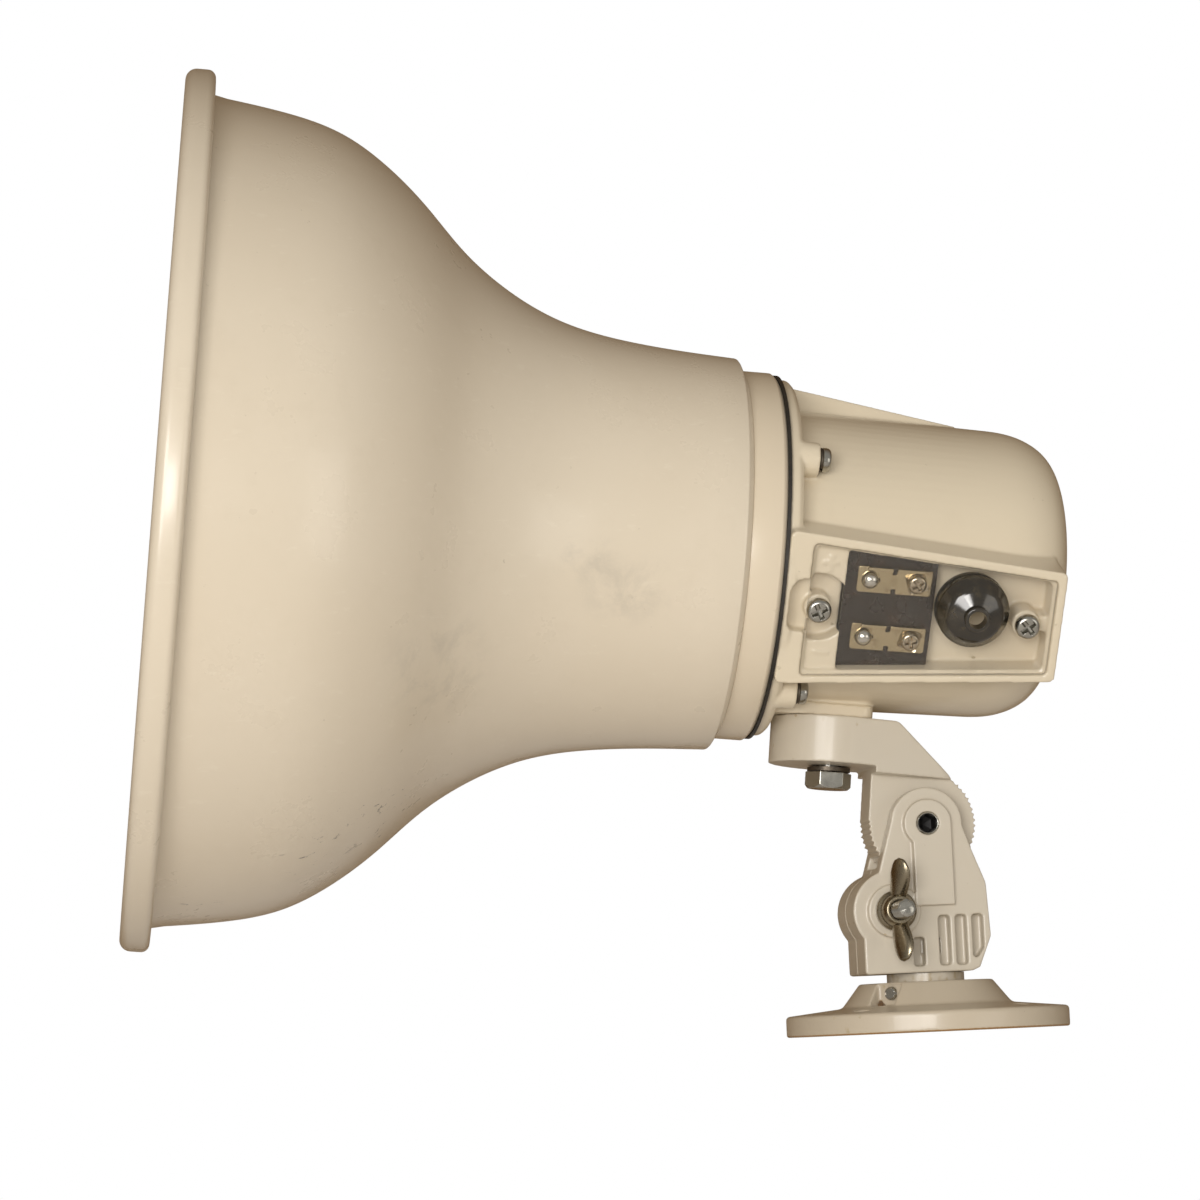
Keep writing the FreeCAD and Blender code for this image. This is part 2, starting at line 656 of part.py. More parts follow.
def rear_housing():
    flange = turned_x([(FLANGE_START, 40), (FLANGE_START, FLANGE_R), (FLANGE_END - 1.6, FLANGE_R),
                       (FLANGE_END, FLANGE_R - 1.6), (FLANGE_END, 40)])
    bosses = ring_of(tapered(SCREW_BOSS_R + 0.2, SCREW_BOSS_R - 0.2, V(FLANGE_END - 1, 0, 0),
                             V(SCREW_BOSS_END, 0, 0)), SCREW_CIRCLE_R, SCREW_ANGLES)
    tray = on_face(tray_slab(tray_outline(0, 0, 0, 0, 2.0), 30, TRAY_FACE))
    outside = fused([spun(housing_profile(0)), flange, bracket_boss(), top_rib(), tray] + bosses)
    tray_zone = on_face(tray_slab(tray_outline(-1, -1, -1, -1, 0), TRAY_FLOOR - TRAY_SKIN, 70))
    boss_zone = block(V(WEB_BACK, -BOSS_HALF, -60), V(BOSS_REAR, BOSS_HALF, -42.6))
    cavity = spun(housing_profile(CUP_WALL)).cut([tray_zone, boss_zone])
    left, right, top, bottom = MARGINS
    seat = tray_slab(seat_outline(0, 1.5), COVER_REST, 70)
    inside = tray_slab(seat_outline(TRAY_LEDGE, 1.5), TRAY_FLOOR, 70)
    notch = tray_slab([(TRAY_START + 1.6, -7.4, 3), (COVER_SCREWS[0], -7.4), (COVER_SCREWS[0], 9.6),
                       (TRAY_START + 1.6, 9.6, 5)], COVER_REST - 2.6, 70)
    hollow = outside.cut([cavity] + [on_face(tool) for tool in (seat, inside, notch)])
    posts = [face_rod(POST_R, along, 0, TRAY_FLOOR - 1, COVER_REST) for along in COVER_SCREWS]
    rear_web = tray_slab([(COVER_SCREWS[1], -2.6), (TRAY_END - right - 1, -2.6), (TRAY_END - right - 1, 2.6),
                          (COVER_SCREWS[1], 2.6)], TRAY_FLOOR - 1, COVER_REST - 1.5)
    filled = fused([hollow] + [on_face(part) for part in posts + [rear_web, tray_pads()] + tray_marks()])
    holes = [on_face(face_rod(M4_R, along, 0, TRAY_FLOOR, 60)) for along in COVER_SCREWS]
    holes += [on_face(face_rod(LEAD_R + 0.4, LEAD_X, height, 36, TRAY_FLOOR + 1)) for height in STRIP_HEIGHTS]
    holes += screw_holes(M4_CLEAR_R, SCREW_CIRCLE_R, SCREW_ANGLES, FLANGE_START - 1, SCREW_BOSS_END + 1)
    pan = RIM_TO_PIN + PAN_X
    holes.append(rod(M8_R, V(pan, 0, BOSS_BOTTOM - 1), V(pan, 0, BOSS_BOTTOM + 7.6)))
    return filled.cut(holes)


def housing_gasket():
    body = turned_x([(COLLAR_END, COLLAR_BORE), (COLLAR_END, COLLAR_R - 0.6), (FLANGE_START, COLLAR_R - 0.6),
                     (FLANGE_START, COLLAR_BORE)])
    return body.cut(screw_holes(M4_CLEAR_R, SCREW_CIRCLE_R, SCREW_ANGLES, COLLAR_END - 1, FLANGE_START + 1))


def split_washer(inner_r, outer_r, thickness):
    """Spring washer along X from x = 0, with its cut."""
    body = turned_x([(0, inner_r), (0, outer_r), (thickness, outer_r), (thickness, inner_r)])
    return body.cut(block(V(-1, -outer_r - 1, -0.35), V(thickness + 1, 0, 0.35)))


def housing_washers():
    washer = moved(split_washer(M4_CLEAR_R, 3.8, SPRING_WASHER), SCREW_BOSS_END, 0, 0)
    return group(ring_of(washer, SCREW_CIRCLE_R, SCREW_ANGLES))


def housing_screws():
    screw = moved(flipped(pan_screw(16.0)), SCREW_BOSS_END + SPRING_WASHER, 0, 0)
    return group(ring_of(screw, SCREW_CIRCLE_R, SCREW_ANGLES))


# ---------------------------------------------------------------- terminals
def terminal_cover():
    plate = tray_slab(seat_outline(LOOSE, 1.3), COVER_REST, COVER_REST + COVER_PLATE)
    holes = [face_rod(M4_CLEAR_R, along, 0, 50, 60) for along in COVER_SCREWS]
    holes.append(face_rod(GROMMET_NECK, GROMMET_AT[0], GROMMET_AT[1], 50, 60))
    return on_face(plate.cut(holes))


def face_screw(along, height, seat, length, shank_r, head_r, head):
    """Screw driven into the tray from outside, its head resting at the seat."""
    screw = pan_screw(length, shank_r, head_r, head)
    screw.rotate(ORIGIN, ALONG_Z, 90)
    return on_face(moved(screw, along, -seat, height))


def cover_screws():
    return group([face_screw(along, 0, COVER_REST + COVER_PLATE, 9.0, M4_R, M4_HEAD_R, M4_HEAD)
                  for along in COVER_SCREWS])


def terminal_block():
    inner = seat_outline(TRAY_LEDGE + LOOSE, 0)
    body = tray_slab(inner, TRAY_FLOOR, BLOCK_TOP)
    body = body.common(block(V(BLOCK_START, -60, -40), V(BLOCK_END, -30, 40)))
    holes = [face_rod(LEAD_R + 0.2, LEAD_X, height, 40, 50) for height in STRIP_HEIGHTS]
    holes += [face_rod(SMALL_R, TERMINAL_X, height, TRAY_FLOOR + 1, 50) for height in STRIP_HEIGHTS]
    return on_face(body.cut(holes))


def terminal_strips():
    top = BLOCK_TOP + STRIP
    plate = tray_slab([(STRIP_START, -STRIP_HALF, 1), (STRIP_END, -STRIP_HALF, 1),
                       (STRIP_END, STRIP_HALF, 1), (STRIP_START, STRIP_HALF, 1)], BLOCK_TOP, top)
    lip = tray_slab([(STRIP_START + 3, STRIP_HALF - STRIP), (STRIP_END - 1, STRIP_HALF - STRIP),
                     (STRIP_END - 1, STRIP_HALF), (STRIP_START + 3, STRIP_HALF)], BLOCK_TOP, top + 1.2)
    cuts = [face_rod(SMALL_R + 0.2, TERMINAL_X, 0, 45, 55), face_rod(LEAD_R + 0.2, LEAD_X, 0, 45, 55)]
    for low, high in ((2.0, 6.0), (-6.0, -2.6)):
        cuts.append(tray_slab([(SLIT_X - 0.7, low), (SLIT_X + 0.7, low), (SLIT_X + 0.7, high),
                               (SLIT_X - 0.7, high)], BLOCK_TOP - 1, 60))
    strip = fused([plate, lip]).cut(cuts)
    return group([on_face(moved(strip, 0, 0, height)) for height in STRIP_HEIGHTS])


def terminal_washers():
    washers = []
    for height in STRIP_HEIGHTS:
        plate = tray_slab([(TERMINAL_X - 3.1, height - 3.1), (TERMINAL_X + 3.1, height - 3.1),
                           (TERMINAL_X + 3.1, height + 3.1), (TERMINAL_X - 3.1, height + 3.1)],
                          BLOCK_TOP + STRIP, BLOCK_TOP + STRIP + 0.8)
        washers.append(on_face(plate.cut(face_rod(SMALL_R + 0.2, TERMINAL_X, height, 45, 55))))
    return group(washers)


def terminal_screws():
    return group([face_screw(TERMINAL_X, height, BLOCK_TOP + STRIP + 0.8, 5.0, SMALL_R, 3.0, 2.2)
                  for height in STRIP_HEIGHTS])


def solder_joints():
    joints = []
    for height in STRIP_HEIGHTS:
        centre = V(SOLDER_X, -(BLOCK_TOP + STRIP), height)
        ball = Part.makeSphere(SOLDER_R, centre)
        keep = tray_slab([(SOLDER_X - 5, height - 5), (SOLDER_X + 5, height - 5), (SOLDER_X + 5, height + 5),
                          (SOLDER_X - 5, height + 5)], BLOCK_TOP + STRIP, 60)
        joints.append(on_face(ball.common(keep)))
    return group(joints)


def cable_grommet():
    top = COVER_REST + COVER_PLATE
    profile = [(51.4, 7.4), (51.4, GROMMET_R, 0.8), (COVER_REST, GROMMET_R), (COVER_REST, GROMMET_NECK),
               (top, GROMMET_NECK), (top, GROMMET_R), (57.6, GROMMET_R, 1.5), (61.6, 8.6, 4.0),
               (63.6, NIPPLE_R), (NIPPLE_END, NIPPLE_R, 0.6), (NIPPLE_END, CABLE_R), (61.8, CABLE_R),
               (57.0, 7.4)]
    body = turned_x(profile)
    body.rotate(ORIGIN, ALONG_Z, -90)
    return on_face(moved(body, GROMMET_AT[0], 0, GROMMET_AT[1]))


# ---------------------------------------------------------------- bracket: upper arm
def tilt_arm():
    front = PAN_X - PAN_R - 1
    side = slab([(front, PAN_BOTTOM + GAP), (-17.5, PAN_BOTTOM + GAP), (-17.5, 15), (8.6, 15), (7.5, 16.4, 3),
                 (-10.7, PAN_TOP, 4), (front, PAN_TOP)], -PAN_R, PAN_R)
    narrow = 11.0
    tip = 2.0
    lean = math.asin((PAN_R - narrow) / (tip - PAN_X))
    corners = []
    for x, radius, sign in ((PAN_X, PAN_R, 1), (tip, narrow, 1), (tip, narrow, -1), (PAN_X, PAN_R, -1)):
        corners.append(V(x + radius * math.sin(lean), sign * radius * math.cos(lean), 0))
    plan = Part.Face(Part.makePolygon(corners + corners[:1])).extrude(V(0, 0, 60))
    rounds = [rod(radius, V(x, 0, 0), V(x, 0, 60)) for radius, x in ((PAN_R, PAN_X), (narrow, tip))]
    plan = fused([plan] + rounds)
    head = side.common(plan)
    web = slab([(-17.5, PAN_BOTTOM + 2), (-17.5, 0), (0, 0), (11.4, 9.0), (9.8, 14), (8.6, 15), (0, 20)],
               -DISC_HALF, DISC_HALF)
    rim = []
    for tooth in range(TEETH):
        for radius, share in ((DISC_R - TOOTH, 0.0), (DISC_R, 0.5)):
            angle = 2 * math.pi * (tooth + share) / TEETH
            rim.append((radius * math.cos(angle), radius * math.sin(angle)))
    disc = slab(rim, -DISC_HALF, DISC_HALF)
    body = fused([head, web, disc])
    holes = [rod(PIN_R + FIT, V(0, -20, 0), V(0, 20, 0)), rod(M8_R + LOOSE, V(PAN_X, 0, 0), V(PAN_X, 0, 60))]
    return body.cut(holes)


def pan_bolt():
    under = PAN_BOTTOM - PAN_WASHER
    head = hexagon(13.0, under - 5.3, under)
    shank = rod(M8_R, V(0, 0, under - 1), V(0, 0, PAN_TOP + 7.4))
    return moved(fused([head, shank]), PAN_X, 0, 0)


def pan_washer():
    washer = split_washer(M8_R + LOOSE, 6.9, PAN_WASHER)
    washer.rotate(ORIGIN, ALONG_Y, 90)
    return moved(washer, PAN_X, 0, PAN_BOTTOM)


# ---------------------------------------------------------------- bracket: knuckle
def knuckle_blank():
    """Both halves together, before they are split."""
    side = slab([(-22, KNUCKLE_BOTTOM, 1), (12.6, KNUCKLE_BOTTOM), (15, 19.8), (19, 29.6, 3), (18.2, 46.5, 6),
                 (14.2, 57), (EAR_R - 0.3, PIN_HEIGHT), (-EAR_R + 0.1, PIN_HEIGHT + 1.5), (-16.8, 49),
                 (-22, 40)], -KNUCKLE_HALF, KNUCKLE_HALF)
    ear = rod(EAR_R, V(0, -KNUCKLE_HALF, PIN_HEIGHT), V(0, KNUCKLE_HALF, PIN_HEIGHT))
    boss = rod(CLAMP_BOSS_R, V(CLAMP_X, -KNUCKLE_HALF, CLAMP_Z), V(CLAMP_X, KNUCKLE_HALF, CLAMP_Z))
    return fused([side, ear, boss])


def knuckle_half(side):
    """One half of the split knuckle: side is -1 for the front, 1 for the rear."""
    inner, outer = sorted((side * KNUCKLE_SPLIT, side * (KNUCKLE_HALF + 5)))
    keep = block(V(-60, inner, 0), V(60, outer, 120))
    face = side * KNUCKLE_HALF
    half = knuckle_blank().common(keep)
    ring_face = face + side * CLAMP_RING
    extras = [rod(CLAMP_RING_R, V(CLAMP_X, face - side, CLAMP_Z), V(CLAMP_X, ring_face, CLAMP_Z))]
    pad_low, pad_high = sorted((face - side, face + side * PAD))
    extras.append(slab([(-5, 40), (7.6, 40), (7.6, PIN_HEIGHT), (-5, PIN_HEIGHT)], pad_low, pad_high))
    extras.append(rod(7.6, V(0, face - side, PIN_HEIGHT), V(0, face + side * PAD, PIN_HEIGHT)))
    half = fused([half] + extras)
    pockets = []
    pocket_low, pocket_high = sorted((face - side * RIB_POCKET_DEPTH, face + side))
    for start, top in RIB_POCKETS:
        end = start + RIB_POCKET_WIDTH
        pockets.append(slab([(start, 20.8, 1), (end, 20.8 + max(0, end - 14) * 2.0, 1), (end, top, 1),
                             (start, top, 1)], pocket_low, pocket_high))
    slot = rod(DISC_R + 0.9, V(0, -EAR_GAP, PIN_HEIGHT), V(0, EAR_GAP, PIN_HEIGHT))
    above = block(V(-40, -EAR_GAP, PIN_HEIGHT), V(40, EAR_GAP, PIN_HEIGHT + 30))
    swing = slab([(-40, PIN_HEIGHT), (-40, 52.6), (-8, 52.6), (0, PIN_HEIGHT)], -EAR_GAP, EAR_GAP)
    neck = rod(SPINDLE_NECK_R + 0.1, V(0, 0, 10), V(0, 0, 27))
    well = rod(SPINDLE_HEAD_R + 0.3, V(0, 0, SPINDLE_HEAD[0] - GAP), V(0, 0, SPINDLE_HEAD[1] + 0.3))
    pin_hole = rod(PIN_R, V(0, -40, PIN_HEIGHT), V(0, 40, PIN_HEIGHT))
    bolt_hole = rod(M6_R + 0.2, V(CLAMP_X, -40, CLAMP_Z), V(CLAMP_X, 40, CLAMP_Z))
    return half.cut(pockets + [slot, above, swing, neck, well, pin_hole, bolt_hole])


def tilt_pin():
    front = -KNUCKLE_HALF - PAD - 0.2
    body = turned_x([(front, 0), (front, PIN_R, 0.4), (-front, PIN_R, 0.4), (-front, 0)])
    body.rotate(ORIGIN, ALONG_Z, 90)
    socket = hexagon(4.0, 0, 5)
    socket.rotate(ORIGIN, ALONG_X, -90)
    body = body.cut([moved(socket, 0, front - 1, 0), moved(socket, 0, -front - 4, 0)])
    return moved(body, 0, 0, PIN_HEIGHT)


def clamp_bolt():
    head = hexagon(10.0, 0, BOLT_HEAD)
    head.rotate(ORIGIN, ALONG_X, -90)
    head = moved(head, 0, RING_FACE + BOLT_HEAD, 0)
    head.rotate(V(0, RING_FACE + BOLT_HEAD, 0), ALONG_Z, 180)
    shank = rod(M6_R, V(0, BOLT_TIP + 0.6, 0), V(0, RING_FACE + 1, 0))
    tip = tapered(M6_R - 0.6, M6_R, V(0, BOLT_TIP, 0), V(0, BOLT_TIP + 0.6, 0))
    dimple = tapered(1.6, 1.0, V(0, BOLT_TIP - 0.01, 0), V(0, BOLT_TIP + 1.2, 0))
    return moved(fused([head, shank, tip]).cut(dimple), CLAMP_X, 0, CLAMP_Z)


def clamp_washer():
    body = turned_x([(0, M6_R + 0.3), (0, 6.3), (CLAMP_WASHER - GAP, 6.3), (CLAMP_WASHER - GAP, M6_R + 0.3)])
    body.rotate(ORIGIN, ALONG_Z, -90)
    return moved(body, CLAMP_X, -RING_FACE - GAP, CLAMP_Z)


def wing_nut():
    """Hub and two wings, along -Y from its base at y = 0."""
    hub = turned_x([(0, 0), (0, 6.4, 0.8), (8.5, 4.9, 0.8), (8.5, 0)])
    hub.rotate(ORIGIN, ALONG_Z, -90)
    wings = []
    for side in (-1, 1):
        ear = Part.Face(outline([(0, 1.5), (0, 8), (4.0, 10), (13.5, 17.2, 3.2), (16.5, 8.5, 3.0),
                                 (8, 1.5, 3)]))
        ear = ear.extrude(V(0, 2.6, 0))
        ear.translate(V(0, -1.3, 0))
        ear.rotate(ORIGIN, ALONG_X, 90)
        ear.rotate(ORIGIN, ALONG_Y, 90 * side)
        wings.append(ear)
    body = fused([hub] + wings).cut(rod(M6_R + FIT, V(0, -30, 0), V(0, 5, 0)))
    return moved(body, CLAMP_X, -RING_FACE - CLAMP_WASHER - GAP, CLAMP_Z)


# ---------------------------------------------------------------- bracket: base
def base_flange():
    body = turned_z([(8.0, 10.5), (12.0, 10.5), (12.0, 1.5), (14.0, 1.5), (14.0, 12.6), (19.0, 12.6),
                     (24.4, 5.4), (41.4, 4.0), (41.4, 0), (BASE_R, 0, 0.5), (BASE_R, BASE_EDGE, 1.2),
                     CONE_FOOT + (2.0,), CONE_TOP + (0.8,), (8.0, CONE_TOP[1])])
    pads = []
    holes = []
    for index in range(4):
        angle = math.radians(45 + 90 * index)
        x = HOLE_CIRCLE_R * math.cos(angle)
        y = HOLE_CIRCLE_R * math.sin(angle)
        pads.append(rod(6.4, V(x, y, 0), V(x, y, 6.0)))
        holes.append(rod(HOLE_R, V(x, y, -1), V(x, y, 20)))
    lug = rod(4.6, V(-13, 0, SET_SCREW_Z), V(-21.6, 0, SET_SCREW_Z)).common(
        block(V(-30, -10, 8), V(0, 10, CONE_TOP[1] - 0.5)))
    notch = block(V(-40, -4.6, CONE_FOOT[1] + 0.3), V(-20.4, 4.6, SET_SCREW_Z + 3.2))
    bore = rod(M4_R, V(-30, 0, SET_SCREW_Z), V(-7, 0, SET_SCREW_Z))
    for tool in (lug, notch, bore):
        tool.rotate(ORIGIN, ALONG_Z, SET_SCREW_TURN)
    return fused([body, lug] + pads).cut([notch, bore] + holes)


def set_screw():
    body = turned_x([(7.1, 0), (7.1, M4_R - 0.6), (7.7, M4_R), (21.4, M4_R, 0.4), (21.4, 0)])
    slot = block(V(20.2, -3, -0.4), V(23, 3, 0.4))
    body = body.cut(slot)
    body.rotate(ORIGIN, ALONG_Z, 180 + SET_SCREW_TURN)
    return moved(body, 0, 0, SET_SCREW_Z)


def swivel_spindle():
    return turned_z([(0, 2.6), (5.4, 2.6, 0.6), (5.4, 10.5), (SPINDLE_NECK_R, 10.5),
                     (SPINDLE_NECK_R, CONE_TOP[1]), (SPINDLE_COLLAR_R, CONE_TOP[1]),
                     (SPINDLE_COLLAR_R, KNUCKLE_BOTTOM - GAP),
                     (SPINDLE_NECK_R, KNUCKLE_BOTTOM - GAP), (SPINDLE_NECK_R, SPINDLE_HEAD[0]),
                     (SPINDLE_HEAD_R, SPINDLE_HEAD[0], 0.6), (SPINDLE_HEAD_R, SPINDLE_HEAD[1], 0.6),
                     (0, SPINDLE_HEAD[1])])


def spindle_washer():
    return turned_z([(5.6, 9.0), (11.6, 9.0), (11.6, 10.5), (5.6, 10.5)])


def spindle_nut():
    return hexagon(17.0, 3.4, 9.0).cut(rod(5.4, V(0, 0, 0), V(0, 0, 20)))


# ---------------------------------------------------------------- placing and writing
def in_head(shape):
    """Head frame to row frame."""
    copy = shape.copy()
    copy.rotate(ORIGIN, ALONG_Y, REST_TILT)
    copy.translate(V(0, 0, PIN_HEIGHT))
    return copy


def in_horn(shape):
    """Horn frame to row frame."""
    copy = shape.copy()
    copy.translate(V(-RIM_TO_PIN, 0, AXIS_HEIGHT))
    return in_head(copy)


HORN_PIECES = [bell, collar, bell_screws, tone_arm, tone_arm_screws, reflector, reflector_screws,
               driver_cover, phase_plug, diaphragm, voice_coil, top_plate, magnet, back_plate, driver_screws,
               transformer_core, transformer_winding, transformer_strap, strap_screws, lead_wires,
               housing_gasket, rear_housing, housing_washers, housing_screws,
               terminal_block, terminal_strips, terminal_washers, terminal_screws, solder_joints,
               terminal_cover, cover_screws, cable_grommet]
HEAD_PIECES = [pan_bolt, pan_washer, tilt_arm]
BASE_PIECES = [tilt_pin, clamp_bolt, clamp_washer, wing_nut, swivel_spindle, spindle_washer, spindle_nut,
               base_flange, set_screw]

os.makedirs("parts", exist_ok=True)
for piece in HORN_PIECES:
    in_horn(piece()).exportStep("parts/" + piece.__name__ + ".step")
for piece in HEAD_PIECES:
    in_head(piece()).exportStep("parts/" + piece.__name__ + ".step")
for piece in BASE_PIECES:
    piece().exportStep("parts/" + piece.__name__ + ".step")
knuckle_half(-1).exportStep("parts/knuckle_front.step")
knuckle_half(1).exportStep("parts/knuckle_rear.step")
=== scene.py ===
"""Looks of the paging horn: rounded castings, turned shells, screws, terminals and finishes."""
import math

import bmesh
import bpy
import numpy as np
from mathutils import Matrix, Vector


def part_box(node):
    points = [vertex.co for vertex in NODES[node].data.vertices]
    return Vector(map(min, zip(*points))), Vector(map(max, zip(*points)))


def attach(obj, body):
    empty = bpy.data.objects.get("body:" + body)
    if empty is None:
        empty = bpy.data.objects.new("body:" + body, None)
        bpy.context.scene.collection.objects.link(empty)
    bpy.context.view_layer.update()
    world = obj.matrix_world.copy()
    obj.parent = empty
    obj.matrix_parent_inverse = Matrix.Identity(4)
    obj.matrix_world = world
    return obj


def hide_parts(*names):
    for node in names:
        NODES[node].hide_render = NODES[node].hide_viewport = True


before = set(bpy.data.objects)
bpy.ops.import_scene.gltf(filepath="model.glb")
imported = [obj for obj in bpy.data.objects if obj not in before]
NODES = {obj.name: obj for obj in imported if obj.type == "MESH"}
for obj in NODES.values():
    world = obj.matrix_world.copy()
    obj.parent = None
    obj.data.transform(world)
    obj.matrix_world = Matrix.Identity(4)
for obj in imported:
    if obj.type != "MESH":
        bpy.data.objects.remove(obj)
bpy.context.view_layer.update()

MM = 0.001

# ---------------------------------------------------------------- working frames, as in the CAD
TURN = Matrix.Rotation(math.radians(6.2), 4, "Y")
HEAD = Matrix.Translation((0, 0, 0.066)) @ TURN
HORN = HEAD @ Matrix.Translation((-0.252, 0, 0.083))
TRAY_TILT = math.radians(23)
SIN, COS = math.sin(TRAY_TILT), math.cos(TRAY_TILT)
TRAY = HORN @ Matrix(((1, 0, 0, 0), (0, -SIN, -COS, 0), (0, COS, -SIN, 0), (0, 0, 0, 1)))
ROW = Matrix.Identity(4)


def on_circle(radius, angle, along):
    """Frame of a screw on a circle about the horn's axis: its local Z points to the rear."""
    turn = Matrix.Rotation(math.radians(-angle), 4, "X")
    place = Matrix.Translation((along * MM, -radius * MM, 0))
    return HORN @ turn @ place @ Matrix.Rotation(math.radians(90), 4, "Y")


# ---------------------------------------------------------------- mesh building
def new_object(name, verts, faces, matrix=ROW, smooth=True):
    """Mesh object from millimetre points in a working frame."""
    mesh = bpy.data.meshes.new(name)
    mesh.from_pydata([tuple(v) for v in verts], [], faces)
    mesh.transform(matrix @ Matrix.Scale(MM, 4))
    mesh.validate()
    bm = bmesh.new()
    bm.from_mesh(mesh)
    bmesh.ops.remove_doubles(bm, verts=bm.verts, dist=1e-7)
    bmesh.ops.recalc_face_normals(bm, faces=bm.faces)
    bm.to_mesh(mesh)
    bm.free()
    if smooth:
        mesh.shade_smooth()
    else:
        mesh.shade_flat()
    obj = bpy.data.objects.new(name, mesh)
    bpy.context.scene.collection.objects.link(obj)
    return obj


def rounded(points, step=10):
    """Points of a closed outline whose (x, z, radius) corners are rounded off."""
    result = []
    count = len(points)
    for index, point in enumerate(points):
        here = Vector(point[:2])
        radius = point[2] if len(point) > 2 else 0
        if radius == 0:
            result.append(tuple(here))
            continue
        back = (Vector(points[index - 1][:2]) - here).normalized()
        ahead = (Vector(points[(index + 1) % count][:2]) - here).normalized()
        half = back.angle(ahead) / 2
        reach = radius / math.tan(half)
        centre = here + (back + ahead).normalized() * (radius / math.sin(half))
        start = here + back * reach - centre
        sweep = math.pi - 2 * half
        sign = 1 if start.x * (here - centre).y - start.y * (here - centre).x > 0 else -1
        steps = max(2, int(math.degrees(sweep) / step))
        for k in range(steps + 1):
            turn = sign * sweep * k / steps
            c, s = math.cos(turn), math.sin(turn)
            result.append((centre.x + start.x * c - start.y * s, centre.y + start.x * s + start.y * c))
    return result


def smooth_curve(points, count):
    """Natural cubic curve through the points, by arc length of its chords."""
    pts = np.array(points, float)
    t = np.concatenate([[0], np.cumsum(np.sqrt((np.diff(pts, axis=0) ** 2).sum(1)))])
    n = len(t)
    a = np.zeros((n, n))
    b = np.zeros((n, 2))
    a[0, 0] = a[-1, -1] = 1
    h = np.diff(t)
    for i in range(1, n - 1):
        a[i, i - 1], a[i, i], a[i, i + 1] = h[i - 1], 2 * (h[i - 1] + h[i]), h[i]
        b[i] = 6 * ((pts[i + 1] - pts[i]) / h[i] - (pts[i] - pts[i - 1]) / h[i - 1])
    m = np.linalg.solve(a, b)
    result = []
    for at in np.linspace(0, t[-1], count):
        i = min(np.searchsorted(t, at, side="right") - 1, n - 2)
        u, v = t[i + 1] - at, at - t[i]
        result.append(tuple((m[i] * u ** 3 + m[i + 1] * v ** 3) / (6 * h[i])
                            + (pts[i] / h[i] - m[i] * h[i] / 6) * u
                            + (pts[i + 1] / h[i] - m[i + 1] * h[i] / 6) * v))
    return result


def inward(points, distance):
    """Points a wall thickness towards the axis from an outer profile."""
    pts = np.array(points, float)
    along = np.gradient(pts, axis=0)
    along /= np.linalg.norm(along, axis=1)[:, None]
    normal = np.stack([along[:, 1], -along[:, 0]], 1)
    return [tuple(p) for p in pts + normal * distance]


def lathe(name, profile, matrix, steps=96, axis="X"):
    """Closed (along, radius) profile turned about the frame's X or Z axis."""
    verts, faces = [], []
    count = len(profile)
    for k in range(steps):
        c, s = math.cos(2 * math.pi * k / steps), math.sin(2 * math.pi * k / steps)
        for along, radius in profile:
            verts.append((along, -radius * c, radius * s) if axis == "X" else (radius * c, radius * s, along))
    for k in range(steps):
        n = (k + 1) % steps
        for i in range(count):
            j = (i + 1) % count
            faces.append((k * count + i, n * count + i, n * count + j, k * count + j))
    return new_object(name, verts, faces, matrix)


def joined(name, objects):
    """One object from several."""
    bm = bmesh.new()
    for obj in objects:
        bm.from_mesh(obj.data)
        bpy.data.objects.remove(obj)
    mesh = bpy.data.meshes.new(name)
    bm.to_mesh(mesh)
    bm.free()
    obj = bpy.data.objects.new(name, mesh)
    bpy.context.scene.collection.objects.link(obj)
    return obj


def settled(obj):
    """Applies an object's modifiers to its mesh."""
    graph = bpy.context.evaluated_depsgraph_get()
    graph.update()
    mesh = bpy.data.meshes.new_from_object(obj.evaluated_get(graph))
    obj.modifiers.clear()
    obj.data = mesh
    return obj


def creased(obj, angle=32):
    """Smooth shading that keeps edges sharper than an angle."""
    obj.data.shade_smooth()
    obj.data.set_sharp_from_angle(angle=math.radians(angle))
    return obj


def casting(node, voxel, rounds, keep):
    """Copy of a CAD node with the soft edges of an enamelled casting."""
    obj = bpy.data.objects.new(node + "_cast", NODES[node].data.copy())
    bpy.context.scene.collection.objects.link(obj)
    bm = bmesh.new()
    bm.from_mesh(obj.data)
    bmesh.ops.remove_doubles(bm, verts=bm.verts, dist=1e-6)
    bm.to_mesh(obj.data)
    bm.free()
    remesh = obj.modifiers.new("remesh", "REMESH")
    remesh.mode = "VOXEL"
    remesh.voxel_size = voxel * MM
    remesh.use_smooth_shade = True
    smooth = obj.modifiers.new("smooth", "SMOOTH")
    smooth.factor = 0.5
    smooth.iterations = rounds
    thin = obj.modifiers.new("thin", "DECIMATE")
    thin.ratio = keep
    settled(obj)
    obj.data.shade_smooth()
    low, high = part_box(node)
    for vert in obj.data.vertices:
        vert.co = Vector(max(low[i], min(high[i], vert.co[i])) for i in range(3))
    return obj


def placed(obj, body, slot, material, *nodes):
    """Gives a piece its finish, its body, and the CAD nodes that it stands for."""
    obj.data.materials.clear()
    obj.data.materials.append(material)
    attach(obj, body)
    if nodes:
        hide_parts(*nodes)
    return obj


# ---------------------------------------------------------------- materials
def rgb(r, g, b):
    """Linear colour from sRGB 0-255 values."""
    shares = (r / 255, g / 255, b / 255)
    return tuple(((c + 0.055) / 1.055) ** 2.4 if c > 0.04 else c / 12.92 for c in shares) + (1.0,)


